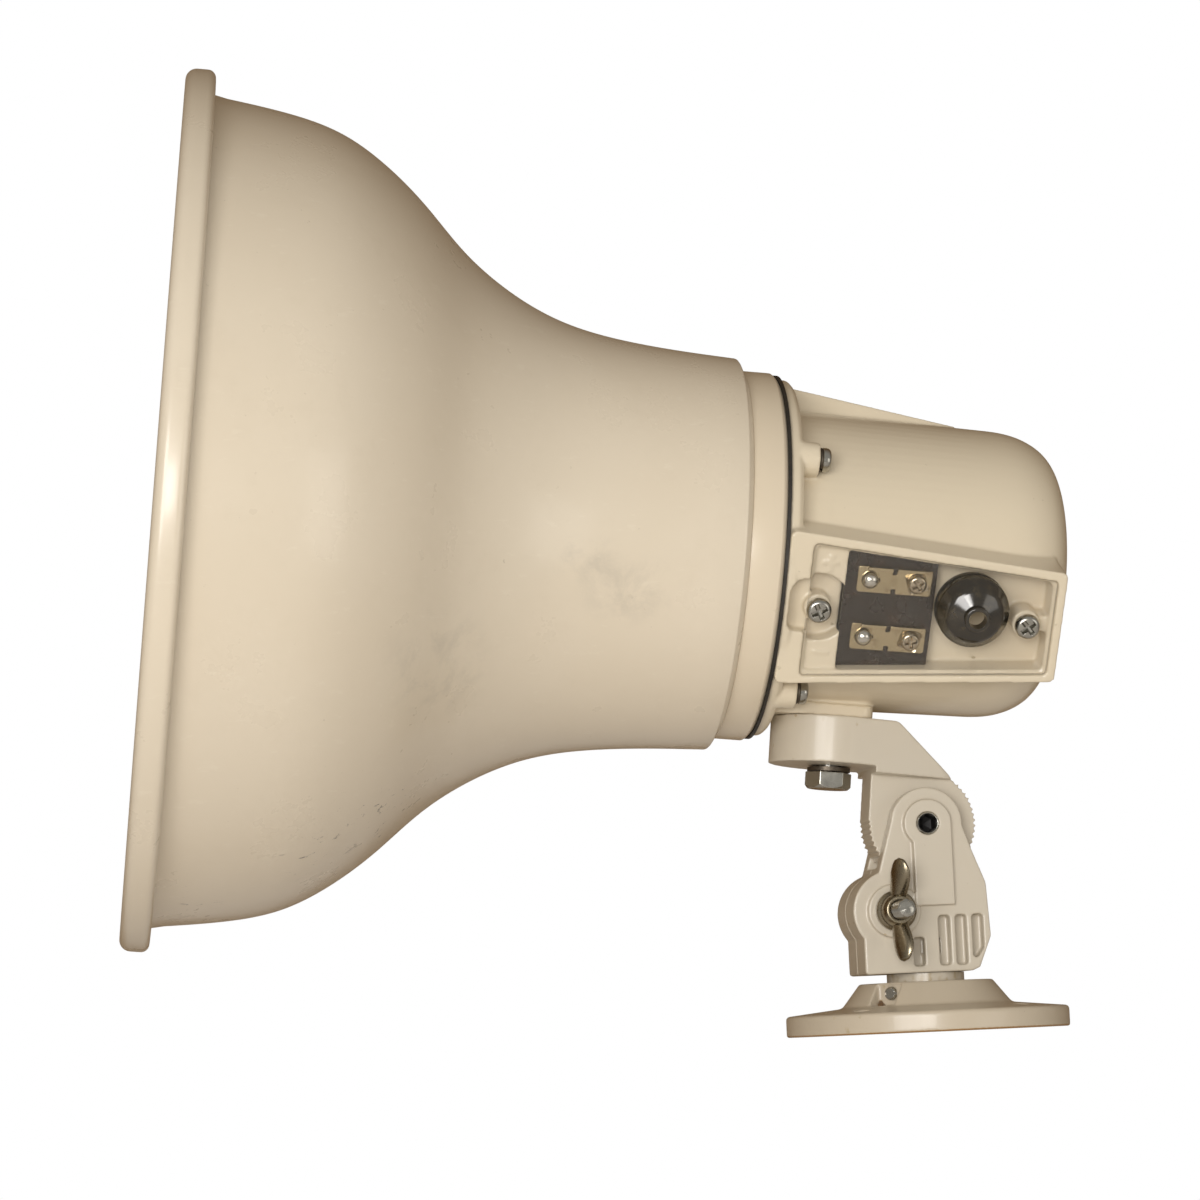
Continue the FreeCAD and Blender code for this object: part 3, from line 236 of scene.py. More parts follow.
class Paint:
    """A material's node tree, with short ways to add to it."""

    def __init__(self, name, colour, rough, metal=0.0, coat=0.0):
        self.material = bpy.data.materials.new(name)
        self.material.use_nodes = True
        self.tree = self.material.node_tree
        self.shader = self.tree.nodes["Principled BSDF"]
        self.shader.inputs["Base Color"].default_value = colour
        self.shader.inputs["Roughness"].default_value = rough
        self.shader.inputs["Metallic"].default_value = metal
        self.shader.inputs["Coat Weight"].default_value = coat
        self.shader.inputs["Coat Roughness"].default_value = 0.12
        self.coords = self.tree.nodes.new("ShaderNodeTexCoord").outputs["Object"]
        self.height = None

    def link(self, source, socket):
        """Joins an output to an input."""
        self.tree.links.new(source, socket)

    def noise(self, scale, detail=3.0, rough=0.55, stretch=None, twist=0.0):
        """Noise from 0 to 1, with a scale in cells per metre."""
        node = self.tree.nodes.new("ShaderNodeTexNoise")
        node.inputs["Scale"].default_value = scale
        node.inputs["Detail"].default_value = detail
        node.inputs["Roughness"].default_value = rough
        node.inputs["Distortion"].default_value = twist
        source = self.coords
        if stretch:
            mapping = self.tree.nodes.new("ShaderNodeMapping")
            mapping.inputs["Scale"].default_value = stretch
            self.link(source, mapping.inputs["Vector"])
            source = mapping.outputs["Vector"]
        self.link(source, node.inputs["Vector"])
        return node.outputs["Fac"]

    def ramp(self, source, low, high, to_low=0.0, to_high=1.0):
        """Smooth step between two values."""
        node = self.tree.nodes.new("ShaderNodeMapRange")
        node.interpolation_type = "SMOOTHSTEP"
        for socket, value in (("From Min", low), ("From Max", high), ("To Min", to_low), ("To Max", to_high)):
            node.inputs[socket].default_value = value
        self.link(source, node.inputs["Value"])
        return node.outputs["Result"]

    def maths(self, operation, first, second):
        """Math node on two sockets or numbers."""
        node = self.tree.nodes.new("ShaderNodeMath")
        node.operation = operation
        node.use_clamp = operation == "MULTIPLY"
        for socket, value in zip(node.inputs, (first, second)):
            if isinstance(value, (int, float)):
                socket.default_value = value
            else:
                self.link(value, socket)
        return node.outputs["Value"]

    def near(self, point, reach, squash=(1, 1, 1)):
        """1 at a point in the row frame, falling to 0 at a distance."""
        mapping = self.tree.nodes.new("ShaderNodeMapping")
        mapping.vector_type = "POINT"
        mapping.inputs["Location"].default_value = [-p * s for p, s in zip(point, squash)]
        mapping.inputs["Scale"].default_value = squash
        self.link(self.coords, mapping.inputs["Vector"])
        length = self.tree.nodes.new("ShaderNodeVectorMath")
        length.operation = "LENGTH"
        self.link(mapping.outputs["Vector"], length.inputs[0])
        return self.ramp(length.outputs["Value"], reach * 0.25, reach, 1.0, 0.0)

    def along(self, axis):
        """Coordinate along an axis, in metres."""
        node = self.tree.nodes.new("ShaderNodeSeparateXYZ")
        self.link(self.coords, node.inputs["Vector"])
        return node.outputs[axis]

    def worn(self, low, high):
        """1 on convex edges."""
        node = self.tree.nodes.new("ShaderNodeNewGeometry")
        return self.ramp(node.outputs["Pointiness"], low, high)

    def tint(self, mask, colour):
        """Blends a colour over what is there, where the mask is 1."""
        socket = self.shader.inputs["Base Color"]
        node = self.tree.nodes.new("ShaderNodeMix")
        node.data_type = "RGBA"
        if socket.is_linked:
            self.link(socket.links[0].from_socket, node.inputs[6])
        else:
            node.inputs[6].default_value = socket.default_value
        node.inputs[7].default_value = colour
        self.link(mask, node.inputs[0])
        self.link(node.outputs[2], socket)

    def roughen(self, mask, low, high):
        """Roughness that follows a mask."""
        self.link(self.ramp(mask, 0.0, 1.0, low, high), self.shader.inputs["Roughness"])

    def bump(self, height, distance, strength=1.0):
        """Adds a bump on top of any there is, with its height in metres."""
        node = self.tree.nodes.new("ShaderNodeBump")
        node.inputs["Distance"].default_value = distance
        node.inputs["Strength"].default_value = strength
        self.link(height, node.inputs["Height"])
        if self.height is not None:
            self.link(self.height, node.inputs["Normal"])
        self.height = node.outputs["Normal"]
        self.link(self.height, self.shader.inputs["Normal"])
        return node


def enamel(name, colour, rough=0.3, peel=0.000012, edge=True):
    """Cream stoved enamel: faint orange peel, uneven gloss, a little dirt, chips on sharp edges."""
    paint = Paint(name, colour, rough, coat=0.35)
    paint.shader.inputs["Coat Roughness"].default_value = 0.16
    paint.tint(paint.ramp(paint.noise(9, 4), 0.35, 0.7, 0.0, 0.22), rgb(206, 190, 164))
    paint.tint(paint.ramp(paint.noise(60, 5, 0.7), 0.52, 0.75, 0.0, 0.11), rgb(196, 182, 158))
    paint.tint(paint.ramp(paint.noise(420, 3, 0.6), 0.72, 0.80, 0.0, 0.35), rgb(128, 112, 88))
    if edge:
        edges = paint.worn(0.53, 0.60)
        chips = paint.maths("MULTIPLY", edges, paint.ramp(paint.noise(240, 4), 0.45, 0.62))
        paint.tint(chips, rgb(176, 160, 130))
    paint.roughen(paint.noise(34, 5, 0.65), rough - 0.03, rough + 0.07)
    paint.bump(paint.noise(900, 2), peel)
    paint.bump(paint.noise(70, 2), peel * 5)
    return paint


def bell_enamel():
    """The bell's enamel, with a few faint smudges, dark scuffs and rubbed patches."""
    paint = enamel("bell_enamel", rgb(217, 205, 184), 0.27, edge=False)
    smudge = paint.ramp(paint.noise(75, 5, 0.7, twist=0.4), 0.40, 0.66)
    for place, reach, squash in SMUDGES:
        patch = paint.maths("MULTIPLY", paint.near(place, reach, squash), smudge)
        paint.tint(paint.maths("MULTIPLY", patch, 0.2), rgb(134, 130, 122))
    scuff = paint.ramp(paint.noise(240, 5, 0.75, stretch=(0.6, 1, 1.4), twist=0.8), 0.61, 0.68, 0.0, 0.8)
    for place, reach, squash in SCUFFS:
        paint.tint(paint.maths("MULTIPLY", paint.near(place, reach, squash), scuff), rgb(72, 60, 52))
    rub = paint.ramp(paint.noise(120, 4, 0.6, stretch=(1, 1, 3)), 0.62, 0.72, 0.0, 0.2)
    paint.tint(rub, rgb(228, 219, 199))
    return paint


def metal(name, colour, rough, grain=900, stain=rgb(70, 62, 52), stains=0.3):
    """Plated steel or brass: fine grain, uneven gloss, dull stains."""
    paint = Paint(name, colour, rough, 1.0)
    paint.tint(paint.ramp(paint.noise(170, 5, 0.7), 0.50, 0.76, 0.0, stains), stain)
    paint.roughen(paint.noise(260, 4, 0.7), rough * 0.65, rough * 1.6)
    paint.bump(paint.noise(grain * 4, 3, 0.7), 0.000006)
    return paint


def plain(name, colour, rough, speck, amount=0.3, scale=400, bump=0.00001, coat=0.0, metallic=0.0):
    """Moulded or turned material with specks and a fine skin."""
    paint = Paint(name, colour, rough, metallic, coat)
    paint.tint(paint.ramp(paint.noise(scale, 5, 0.7), 0.45, 0.75, 0.0, amount), speck)
    paint.roughen(paint.noise(scale * 0.6, 4), rough * 0.75, min(1.0, rough * 1.35))
    paint.bump(paint.noise(scale * 3, 3), bump)
    return paint


def horn_point(along, radius, up):
    """Row-frame point on the near side of the horn, at an angle up from -Y."""
    a = math.radians(up)
    return HORN @ Vector((along * MM, -radius * math.cos(a) * MM, radius * math.sin(a) * MM))


# marks on the near side of the bell: place, reach in metres, and squash along X, Y and Z
SMUDGES = [
    (horn_point(88, 92, -33), 0.022, (0.9, 0.5, 1.0)),
    (horn_point(132, 69, -11), 0.012, (0.8, 0.5, 1.3)),
    (horn_point(146, 66, -19), 0.016, (0.8, 0.5, 1.2)),
]
SCUFFS = [
    (horn_point(24, 130, -74), 0.014, (1.2, 0.5, 0.8)),
    (horn_point(57, 120, -64), 0.014, (0.8, 0.5, 1.2)),
    (horn_point(76, 106, -64), 0.024, (0.8, 0.5, 1.3)),
]

BELL = bell_enamel().material
HOUSING = enamel("housing_enamel", rgb(216, 203, 178), 0.28).material
COLLAR = enamel("collar_enamel", rgb(217, 203, 179), 0.28, edge=False).material
BRACKET = enamel("bracket_enamel", rgb(195, 186, 169), 0.38, 0.000016).material
PLASTIC = enamel("horn_plastic", rgb(216, 202, 174), 0.42, 0.00002, False).material
ZINC = metal("zinc_plate", rgb(176, 174, 166), 0.18).material
# the wing nut's darker brownish tone and brown stains are painted reflection of the cream surroundings on its
# plated faces
WING_NUT_PAINTED_REFLECTION = metal("zinc_with_painted_reflection", rgb(142, 132, 112), 0.24, stain=rgb(76, 60, 38), stains=0.5).material
DARK_STEEL = metal("spring_steel", rgb(96, 88, 78), 0.38, stains=0.6).material
NICKEL = metal("nickel_plate", rgb(182, 168, 144), 0.17, stain=rgb(84, 62, 38), stains=0.5).material
BRASS = metal("tinned_brass", rgb(190, 174, 140), 0.15, stain=rgb(118, 84, 46), stains=0.5).material
SOLDER = metal("solder", rgb(214, 210, 200), 0.16, stain=rgb(110, 100, 82), stains=0.4).material
STEEL = metal("plain_steel", rgb(132, 128, 122), 0.42, stains=0.55).material
PHENOLIC = plain("black_phenolic", rgb(30, 20, 12), 0.24, rgb(72, 48, 28), 0.4, 200, 0.00003, 0.2).material
BROWN = plain("brown_phenolic", rgb(96, 58, 34), 0.4, rgb(60, 36, 22), 0.5, 500).material
RUBBER = plain("black_rubber", rgb(36, 31, 22), 0.16, rgb(92, 80, 56), 0.35, 300, 0.00001, 0.8).material
ALUMINIUM = plain("cast_aluminium", rgb(168, 168, 166), 0.5, rgb(120, 120, 118), 0.5, 700, 0.00004,
                  metallic=1.0).material
COPPER = plain("copper_winding", rgb(168, 92, 52), 0.35, rgb(96, 48, 28), 0.5, 900, 0.00003,
               metallic=1.0).material
FERRITE = plain("ferrite", rgb(52, 50, 50), 0.6, rgb(86, 84, 82), 0.4, 900, 0.00004).material
JACKET = plain("wire_jacket", rgb(150, 44, 28), 0.4, rgb(96, 28, 20), 0.4, 600).material
# near black for the pin's hex sockets: painted shade in the recesses, which are zinc like the rest of the pin
SOCKET_PAINTED_SHADE = plain("socket_painted_shade", rgb(20, 18, 16), 0.5, rgb(46, 42, 38), 0.4, 900).material
GASKET = plain("gasket_rubber", rgb(34, 30, 24), 0.55, rgb(70, 62, 48), 0.4, 500).material


def clear_plastic():
    """Clear cover: see-through faces, paler edges, fine scratches."""
    paint = Paint("clear_plastic", (0.62, 0.58, 0.5, 1), 0.05)
    paint.shader.inputs["IOR"].default_value = 1.6
    paint.shader.inputs["Specular IOR Level"].default_value = 1.0
    scratch = paint.ramp(paint.noise(300, 4, 0.7, stretch=(1, 6, 6)), 0.6, 0.75)
    paint.roughen(scratch, 0.02, 0.2)
    facing = paint.tree.nodes.new("ShaderNodeVectorMath")
    facing.operation = "DOT_PRODUCT"
    geometry = paint.tree.nodes.new("ShaderNodeNewGeometry")
    paint.link(geometry.outputs["True Normal"], facing.inputs[0])
    facing.inputs[1].default_value = (TRAY.to_3x3() @ Vector((0, 0, 1)))
    flat = paint.maths("ABSOLUTE", facing.outputs["Value"], 0)
    see = paint.maths("ADD", paint.ramp(flat, 0.5, 0.9, 0.5, 0.035), paint.maths("MULTIPLY", scratch, 0.05))
    paint.link(see, paint.shader.inputs["Alpha"])
    paint.bump(paint.noise(160, 2), 0.00001)
    return paint.material


def base_enamel_painted_shade():
    """The bracket's enamel in a darker tone, painted shade for the light falling off low on the base, with
    the gold chromate left bare inside the hollow underside.
    """
    # the darker colour than the bracket's enamel is painted shade: base and bracket carry the same cream
    # enamel
    paint = enamel("base_enamel_painted_shade", rgb(188, 176, 156), 0.38, 0.000016)
    height = paint.along("Z")
    node = paint.tree.nodes.new("ShaderNodeNewGeometry")
    split = paint.tree.nodes.new("ShaderNodeSeparateXYZ")
    paint.link(node.outputs["Normal"], split.inputs["Vector"])
    faces_down = paint.ramp(split.outputs["Z"], -0.5, -0.2, 1.0, 0.0)
    in_hollow = paint.ramp(height, 0.009, 0.014, 1.0, 0.0)
    paint.tint(paint.maths("MULTIPLY", faces_down, in_hollow), rgb(150, 112, 62))
    return paint.material


CLEAR = clear_plastic()
BASE = base_enamel_painted_shade()

# finish of each CAD node; a node that is not listed is zinc plated
FINISHES = {
    "base_flange": BASE, "swivel_spindle": BRACKET, "tilt_arm": BRACKET, "knuckle_front": BRACKET,
    "knuckle_rear": BRACKET, "bell": BELL, "collar": HOUSING, "rear_housing": HOUSING, "reflector": PLASTIC,
    "tone_arm": PLASTIC, "terminal_block": PHENOLIC, "phase_plug": PHENOLIC, "terminal_cover": CLEAR,
    "cable_grommet": RUBBER, "housing_gasket": GASKET, "driver_cover": ALUMINIUM, "diaphragm": BROWN,
    "voice_coil": COPPER, "transformer_winding": COPPER, "magnet": FERRITE, "lead_wires": JACKET,
    "top_plate": STEEL, "back_plate": STEEL, "transformer_core": STEEL, "transformer_strap": STEEL,
    "terminal_strips": BRASS, "terminal_washers": NICKEL, "terminal_screws": NICKEL, "solder_joints": SOLDER,
    "housing_washers": DARK_STEEL, "pan_washer": DARK_STEEL,
}
for name, node in NODES.items():
    node.data.materials.clear()
    node.data.materials.append(FINISHES.get(name, ZINC))

# ---------------------------------------------------------------- turned shells
curve = smooth_curve([(9.5, 131.9), (31, 128.9), (50, 123.8), (65, 115), (79, 103), (91.5, 90.4),
                      (106.5, 79.2), (124, 70.8), (148, 65.7), (182, 63.2)], 90)
wall = inward(curve, 1.6)
RIM_R = 139.98
rim = rounded([(9.5, 130.3), (0, 130.7, 1.5), (0, RIM_R, 3.6), (9.5, RIM_R, 2.6), (9.5, 132.3, 0.3),
               (12, 131.6)], 12)
lip = rounded([(170, 63.8), (182.0, 63.2, 0.7), (183.95, 59.6, 0.4), (184.0, 50.0), (182.4, 50.0),
               (182.4, 61.0, 0.5), (170, 61.9)], 20)
bell = lathe("bell_shell", rim[:-1] + curve[2:-5] + lip[1:-1] + wall[-5:1:-1], HORN, 256)
placed(creased(bell, 40), "horn", "cream_enamel", BELL, "bell")

ring = rounded([(184, 13), (190, 13), (190, 46), (195, 46), (195, 57.9, 0.5), (193.5, 59.4, 0.8),
                (184, 59.4, 0.3)], 15)
placed(creased(lathe("collar_ring", ring, HORN, 192)), "horn", "cream_enamel", COLLAR, "collar")

# ---------------------------------------------------------------- castings
for node, voxel, rounds, keep, body, finish in (
        ("rear_housing", 0.5, 7, 0.4, "horn", HOUSING),
        ("tilt_arm", 0.32, 6, 0.5, "arm", BRACKET),
        ("knuckle_front", 0.32, 5, 0.6, "knuckle", BRACKET),
        ("knuckle_rear", 0.32, 5, 0.5, "knuckle", BRACKET),
        ("base_flange", 0.42, 6, 0.5, "base", BASE)):
    placed(casting(node, voxel, rounds, keep), body, "cream_enamel", finish, node)

# ---------------------------------------------------------------- screws, washers and terminals
def cross_head(name, matrix, radius, height, length, shank, turn):
    """Cross-recessed pan head on a threaded shank; the head rises along the frame's Z."""
    rings, sides = 30, 88
    arm, slot, deep = radius * 0.62, radius * 0.15, height * 0.75
    verts, faces = [(0, 0, height - deep)], []
    for i in range(1, rings + 1):
        r = radius * i / rings
        share = r / radius
        top = height * (1 - 0.1 * share ** 2) if share < 0.62 else \
            height * (0.40 + 0.5616 * math.sqrt(max(0.0, 1 - ((share - 0.62) / 0.38) ** 2)))
        for k in range(sides):
            angle = 2 * math.pi * k / sides
            x, y = abs(r * math.cos(angle)), abs(r * math.sin(angle))
            edge = min(max(x - arm, y - slot), max(y - arm, x - slot))
            sink = min(1.0, max(0.0, 0.5 - edge / (radius * 0.09)))
            floor_z = top - deep * (1 - 0.45 * share)
            height_here = top + (floor_z - top) * sink
            verts.append((r * math.cos(angle + turn), r * math.sin(angle + turn), height_here))
    under = len(verts)
    for r, z in ((radius, 0.12), (radius - 0.12, 0), (shank, 0)):
        angles = [2 * math.pi * k / sides + turn for k in range(sides)]
        verts += [(r * math.cos(angle), r * math.sin(angle), z) for angle in angles]
    for k in range(sides):
        n = (k + 1) % sides
        faces.append((0, 1 + k, 1 + n))
        for i in range((len(verts) - 1) // sides - 1):
            a, b = 1 + i * sides, 1 + (i + 1) * sides
            faces.append((a + k, b + k, b + n, a + n))
    head = creased(new_object(name, verts, faces, matrix), 40)
    return joined(name, [head, thread(name + "_shank", matrix, shank, -length, 0.02, 0.7, 40)])


def thread(name, matrix, radius, low, high, pitch, sides=48):
    """Screw thread with closed ends, along the frame's Z."""
    rows = max(8, int((high - low) / pitch * 8))
    verts, faces = [(0, 0, low)], []
    for i in range(rows + 1):
        z = low + (high - low) * i / rows
        for k in range(sides):
            phase = (z / pitch + k / sides) % 1.0
            r = radius - 0.55 * pitch * (1 - abs(2 * phase - 1)) * min(1, (high - z) / pitch)
            r -= max(0.0, 0.7 * pitch - (z - low)) * 0.8
            verts.append((r * math.cos(2 * math.pi * k / sides), r * math.sin(2 * math.pi * k / sides), z))
    verts.append((0, 0, high))
    for k in range(sides):
        n = (k + 1) % sides
        faces += [(0, 1 + n, 1 + k), (len(verts) - 1, 1 + rows * sides + k, 1 + rows * sides + n)]
        for i in range(rows):
            a, b = 1 + i * sides, 1 + (i + 1) * sides
            faces.append((a + k, a + n, b + n, b + k))
    return creased(new_object(name, verts, faces, matrix), 50)


def spring_washer(name, matrix, inner, outer, thick, turn=0.0):
    """Split washer with its sprung ends, from z = 0 to z = thick."""
    steps, rise = 64, thick * 0.26
    verts, faces = [], []
    for i in range(steps + 1):
        angle = turn + math.radians(4 + 350 * i / steps)
        low = rise * i / steps
        for r, z in ((inner, low), (outer - 0.1, low), (outer, low + 0.1), (outer, low + thick - rise - 0.1),
                     (outer - 0.1, low + thick - rise), (inner, low + thick - rise)):
            verts.append((r * math.cos(angle), r * math.sin(angle), z))
    for i in range(steps):
        for j in range(6):
            a, b = i * 6 + j, i * 6 + (j + 1) % 6
            faces.append((a, a + 6, b + 6, b))
    faces += [tuple(range(5, -1, -1)), tuple(range(steps * 6, steps * 6 + 6))]
    return creased(new_object(name, verts, faces, matrix), 30)


def leaf_wing(name, matrix, side):
    """One rounded wing of the nut, leaning so that its broad face shows."""
    rows, sides, lean = 22, 28, math.radians(27)
    verts, faces = [], []
    for i in range(rows + 1):
        share = i / rows
        out = 3.0 + 13.3 * share
        end = math.sqrt(max(0.0004, 1 - share ** 5))
        middle = 4.6 + 5.2 * share ** 0.9
        tall = (2.9 + 2.3 * math.sin(math.pi * min(share, 0.8) / 1.25)) * end
        wide = (2.1 - 0.5 * share) * end
        for k in range(sides):
            angle = 2 * math.pi * k / sides
            dx, dz = wide * math.cos(angle), tall * math.sin(angle)
            dx += 0.10 * (dz - 1) ** 2 * 0.35
            verts.append((dx * math.cos(lean) + dz * math.sin(lean), side * out,
                          middle - dx * math.sin(lean) + dz * math.cos(lean)))
    for i in range(rows):
        for k in range(sides):
            n = (k + 1) % sides
            faces.append((i * sides + k, i * sides + n, (i + 1) * sides + n, (i + 1) * sides + k))
    faces += [tuple(range(sides)), tuple(range(rows * sides, (rows + 1) * sides))]
    return creased(new_object(name, verts, faces, matrix), 60)


def socket_pin(name, matrix, radius, half, flats, depth):
    """Pin with a hexagon socket in each end, along the frame's Z."""
    sides = 72
    rings = []
    for k in range(sides):
        angle = 2 * math.pi * k / sides
        hexagon = flats / 2 / math.cos((angle + math.pi / 6) % (math.pi / 3) - math.pi / 6)
        mouth = flats / 2 / math.cos(math.pi / 6) + 0.1
        run = [(0.02, half - depth - 1.2), (hexagon, half - depth), (hexagon, half - 0.5),
               (mouth, half - 0.1), (radius - 0.35, half), (radius, half - 0.35)]
        run += [(r, -z) for r, z in reversed(run)]
        rings.append([(r * math.cos(angle), r * math.sin(angle), z) for r, z in run])
    count = len(rings[0])
    verts = [point for ring in rings for point in ring]
    faces = [(k * count + i, (k + 1) % sides * count + i, (k + 1) % sides * count + i + 1, k * count + i + 1)
             for k in range(sides) for i in range(count - 1)]
    return creased(new_object(name, verts, faces, matrix), 30)


def turned_square(name, matrix, half, thick, lift):
    """Square terminal washer with its corners dished up."""
    steps = 14
    verts, faces = [], []
    for top in (0, 1):
        for i in range(steps + 1):
            for j in range(steps + 1):
                x, y = (2 * i / steps - 1), (2 * j / steps - 1)
                ease = 1 - 0.05 * (x * y) ** 6
                rise = lift * (x * x * y * y + 0.25 * x ** 4)
                verts.append((x * half * ease, y * half * ease, thick * top + rise))
    n = steps + 1
    for i in range(steps):
        for j in range(steps):
            a = i * n + j
            faces += [(a, a + 1, a + n + 1, a + n), tuple(v + n * n for v in (a, a + n, a + n + 1, a + 1))]
    edge = [i * n for i in range(n)] + [steps * n + j for j in range(1, n)] + \
           [i * n + steps for i in range(steps - 1, -1, -1)] + [j for j in range(steps - 1, 0, -1)]
    faces += [(a, b, b + n * n, a + n * n) for a, b in zip(edge, edge[1:] + edge[:1])]
    return creased(new_object(name, verts, faces, matrix), 35)


def shifted(x, y, z):
    """Move in millimetres."""
    return Matrix.Translation((x * MM, y * MM, z * MM))


heads, washers = [], []
for index, angle in enumerate((30, 120, 210, 300)):
    heads.append(cross_head("screw", on_circle(52.2, angle, 206.7), 3.9, 2.8, 16, 2.0, 0.4 + index))
    washers.append(spring_washer("washer", on_circle(52.2, angle, 205.6), 2.25, 3.8, 1.1, 1.7 * index))
placed(joined("housing_pan_screws", heads), "horn", "zinc_steel", ZINC, "housing_screws")
placed(joined("housing_spring_washers", washers), "horn", "zinc_steel", DARK_STEEL, "housing_washers")
heads = [cross_head("screw", TRAY @ shifted(along, 0, 55.6), 3.9, 2.8, 9, 2.0, turn)
         for along, turn in ((207.4, 0.5), (273.4, 0.75))]
placed(joined("cover_pan_screws", heads), "horn", "zinc_steel", ZINC, "cover_screws")
heads = [cross_head("screw", TRAY @ shifted(238.2, height, 50.3), 3.0, 2.2, 5, 1.7, turn)
         for height, turn in ((9.3, 0.6), (-9.3, 0.2))]
placed(joined("terminal_pan_screws", heads), "horn", "nickel_terminal", NICKEL, "terminal_screws")
plates = []
for height, turn in ((9.3, 0.35), (-9.3, -0.3)):
    seat = TRAY @ shifted(238.2, height, 49.5) @ Matrix.Rotation(turn, 4, "Z")
    plates.append(turned_square("plate", seat, 3.1, 0.5, 0.5))
placed(joined("terminal_square_washers", plates), "horn", "nickel_terminal", NICKEL, "terminal_washers")

CLAMP = Matrix(((1, 0, 0, -0.012), (0, 0, -1, 0), (0, 1, 0, 0.0386), (0, 0, 0, 1)))
NUT = CLAMP @ shifted(0, 0, 17.8)
hub_outline = rounded([(0, 3.05), (0, 6.4, 0.4), (2.4, 6.4, 0.5), (3.0, 5.4), (7.2, 5.0), (8.5, 4.3, 0.5),
                       (8.5, 3.05, 0.3)], 15)
hub = lathe("hub", hub_outline, NUT, 72, "Z")
placed(joined("wing_nut_forged", [creased(hub), leaf_wing("wing", NUT, 1), leaf_wing("wing", NUT, -1)]),
       "wing_nut", "zinc_steel", WING_NUT_PAINTED_REFLECTION, "wing_nut")
bolt_head = bmesh.new()
BOLT_FLATS = 10
corner = BOLT_FLATS / math.sqrt(3)
bmesh.ops.create_cone(bolt_head, cap_ends=True, segments=6, radius1=corner, radius2=corner, depth=4)
bmesh.ops.bevel(bolt_head, geom=bolt_head.edges[:], offset=0.35, segments=3, affect="EDGES", profile=0.5)
corners = [tuple(v.co + Vector((0, 0, -18.5))) for v in bolt_head.verts]
hexagon = new_object("hexagon", corners, [tuple(v.index for v in f.verts) for f in bolt_head.faces], CLAMP)
bolt_head.free()
rod = thread("rod", CLAMP @ Matrix.Rotation(math.pi, 4, "X"), 3.0, -37.5, 16.5, 1.0)
placed(joined("clamp_bolt_threaded", [creased(hexagon), rod]), "knuckle", "zinc_steel", ZINC, "clamp_bolt")
PIN = Matrix(((1, 0, 0, 0), (0, 0, -1, 0), (0, 1, 0, 0.066), (0, 0, 0, 1)))
pin = placed(socket_pin("tilt_socket_pin", PIN, 3.7, 17.2, 5.2, 8), "knuckle", "zinc_steel", ZINC, "tilt_pin")
# the faces inside the hex sockets get the near-black material: painted shade in the recesses
pin.data.materials.append(SOCKET_PAINTED_SHADE)
for face in pin.data.polygons:
    middle = (PIN.inverted() @ face.center) / MM
    if middle.xy.length < 3.0 and abs(middle.z) < 16.9:
        face.material_index = 1
tilted_washer = spring_washer("pan_spring_washer", HEAD @ shifted(-30, 0, 15), 4.2, 6.9, 2.0, 2.4)
placed(tilted_washer, "horn", "zinc_steel", DARK_STEEL, "pan_washer")

for node, voxel, rounds, keep, body, slot, finish in (
        ("pan_bolt", 0.17, 3, 0.3, "horn", "zinc_steel", ZINC),
        ("terminal_strips", 0.11, 3, 0.4, "horn", "brass_terminal", BRASS)):
    placed(casting(node, voxel, rounds, keep), body, slot, finish, node)

# ---------------------------------------------------------------- floor, light and camera
FLOOR_Z = -0.34
FLOOR_HALF = 1800
corners = [(x * FLOOR_HALF, y * FLOOR_HALF, 0) for x, y in ((-1, -1), (1, -1), (1, 1), (-1, 1))]
floor = new_object("floor", corners, [(0, 1, 2, 3)], Matrix.Translation((-0.1, 0, FLOOR_Z)), False)
ground = plain("floor_paper", rgb(248, 247, 245), 0.9, rgb(240, 238, 234), 0.3, 3, 0.0001)
# the paper fades out with distance, so that it runs into the white backdrop
ground.link(ground.near((-0.1, 0, FLOOR_Z), 1.7), ground.shader.inputs["Alpha"])
floor.data.materials.append(ground.material)

world = bpy.data.worlds.new("studio")
world.use_nodes = True
bpy.context.scene.world = world
tree = world.node_tree
room = tree.nodes["Background"]
room.inputs["Strength"].default_value = 1.0
direction = tree.nodes.new("ShaderNodeTexCoord")
parts = tree.nodes.new("ShaderNodeSeparateXYZ")
tree.links.new(direction.outputs["Generated"], parts.inputs["Vector"])
fade = tree.nodes.new("ShaderNodeValToRGB")
fade.color_ramp.elements[0].position = 0.25
fade.color_ramp.elements[0].color = (0.40, 0.385, 0.36, 1)
fade.color_ramp.elements[1].position = 0.75
fade.color_ramp.elements[1].color = (0.155, 0.088, 0.036, 1)
spread = tree.nodes.new("ShaderNodeMapRange")
spread.inputs["From Min"].default_value = -1
tree.links.new(parts.outputs["Y"], spread.inputs["Value"])
tree.links.new(spread.outputs["Result"], fade.inputs["Fac"])
tree.links.new(fade.outputs["Color"], room.inputs["Color"])
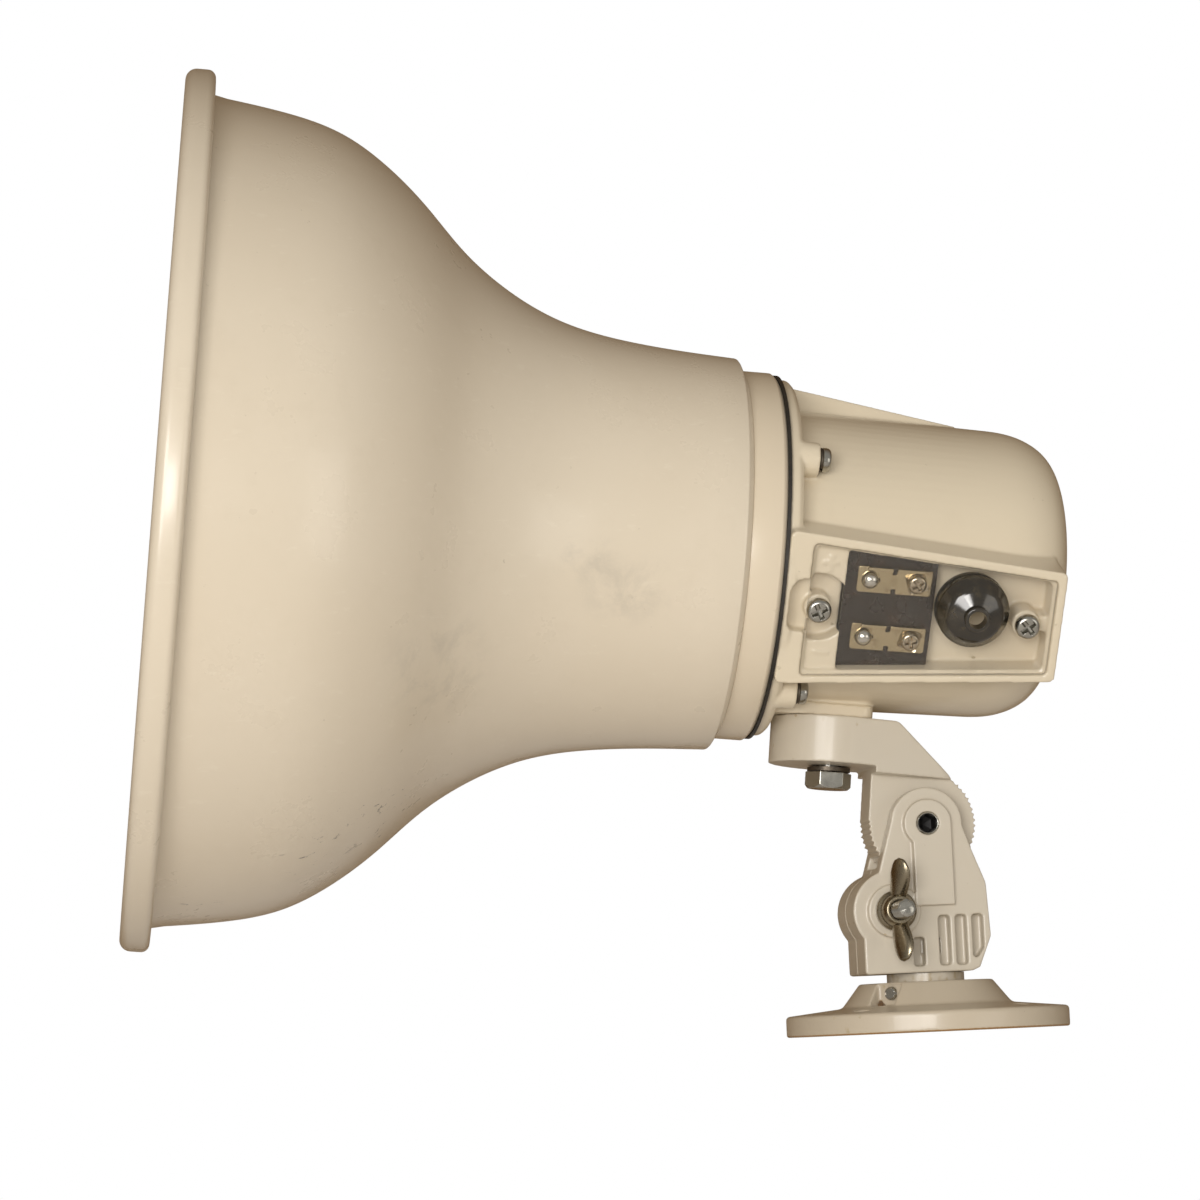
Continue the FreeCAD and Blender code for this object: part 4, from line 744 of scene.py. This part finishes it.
backdrop = tree.nodes.new("ShaderNodeBackground")
backdrop.inputs["Color"].default_value = (1, 1, 1, 1)
seen = tree.nodes.new("ShaderNodeLightPath")
either = tree.nodes.new("ShaderNodeMixShader")
tree.links.new(seen.outputs["Is Camera Ray"], either.inputs[0])
tree.links.new(room.outputs[0], either.inputs[1])
tree.links.new(backdrop.outputs[0], either.inputs[2])
tree.links.new(either.outputs[0], tree.nodes["World Output"].inputs["Surface"])
bpy.context.scene.view_settings.view_transform = "Standard"


def softbox(name, place, aim, size, power, colour=(1, 1, 1)):
    """Rectangular area light turned towards a point."""
    data = bpy.data.lights.new(name, "AREA")
    data.shape = "RECTANGLE"
    data.size, data.size_y = size
    data.energy = power
    data.color = colour
    light = bpy.data.objects.new(name, data)
    light.location = place
    light.rotation_mode = "QUATERNION"
    light.rotation_quaternion = (Vector(aim) - Vector(place)).to_track_quat("-Z", "Y")
    bpy.context.scene.collection.objects.link(light)
    return light


CENTRE = (-0.1, 0, 0.15)
softbox("key", (-0.85, -1.7, 0.2), CENTRE, (0.7, 0.8), 15, (1.0, 0.977, 0.955))
softbox("lamp", (-0.3, -1.75, 0.12), CENTRE, (0.35, 0.35), 6.4, (1.0, 0.972, 0.94))
softbox("fill", (1.1, -1.3, 0.0), CENTRE, (0.8, 0.8), 2.5, (1.0, 0.96, 0.9))
rear = softbox("rear", (0.5, 1.8, 0.4), CENTRE, (1.2, 1.2), 9)
rear.visible_glossy = False

camera_data = bpy.data.cameras.new("camera")
camera_data.sensor_width = 36
camera_data.lens = 124.09
camera = bpy.data.objects.new("camera", camera_data)
YAW, PITCH, ROLL = math.radians(6.92), math.radians(6.05), math.radians(-2.54)
camera.matrix_world = (Matrix.Translation((-0.2588, -1.3112, 0.0024)) @ Matrix.Rotation(-YAW, 4, "Z")
                       @ Matrix.Rotation(math.radians(90) + PITCH, 4, "X") @ Matrix.Rotation(ROLL, 4, "Z"))
bpy.context.scene.collection.objects.link(camera)
bpy.context.scene.camera = camera
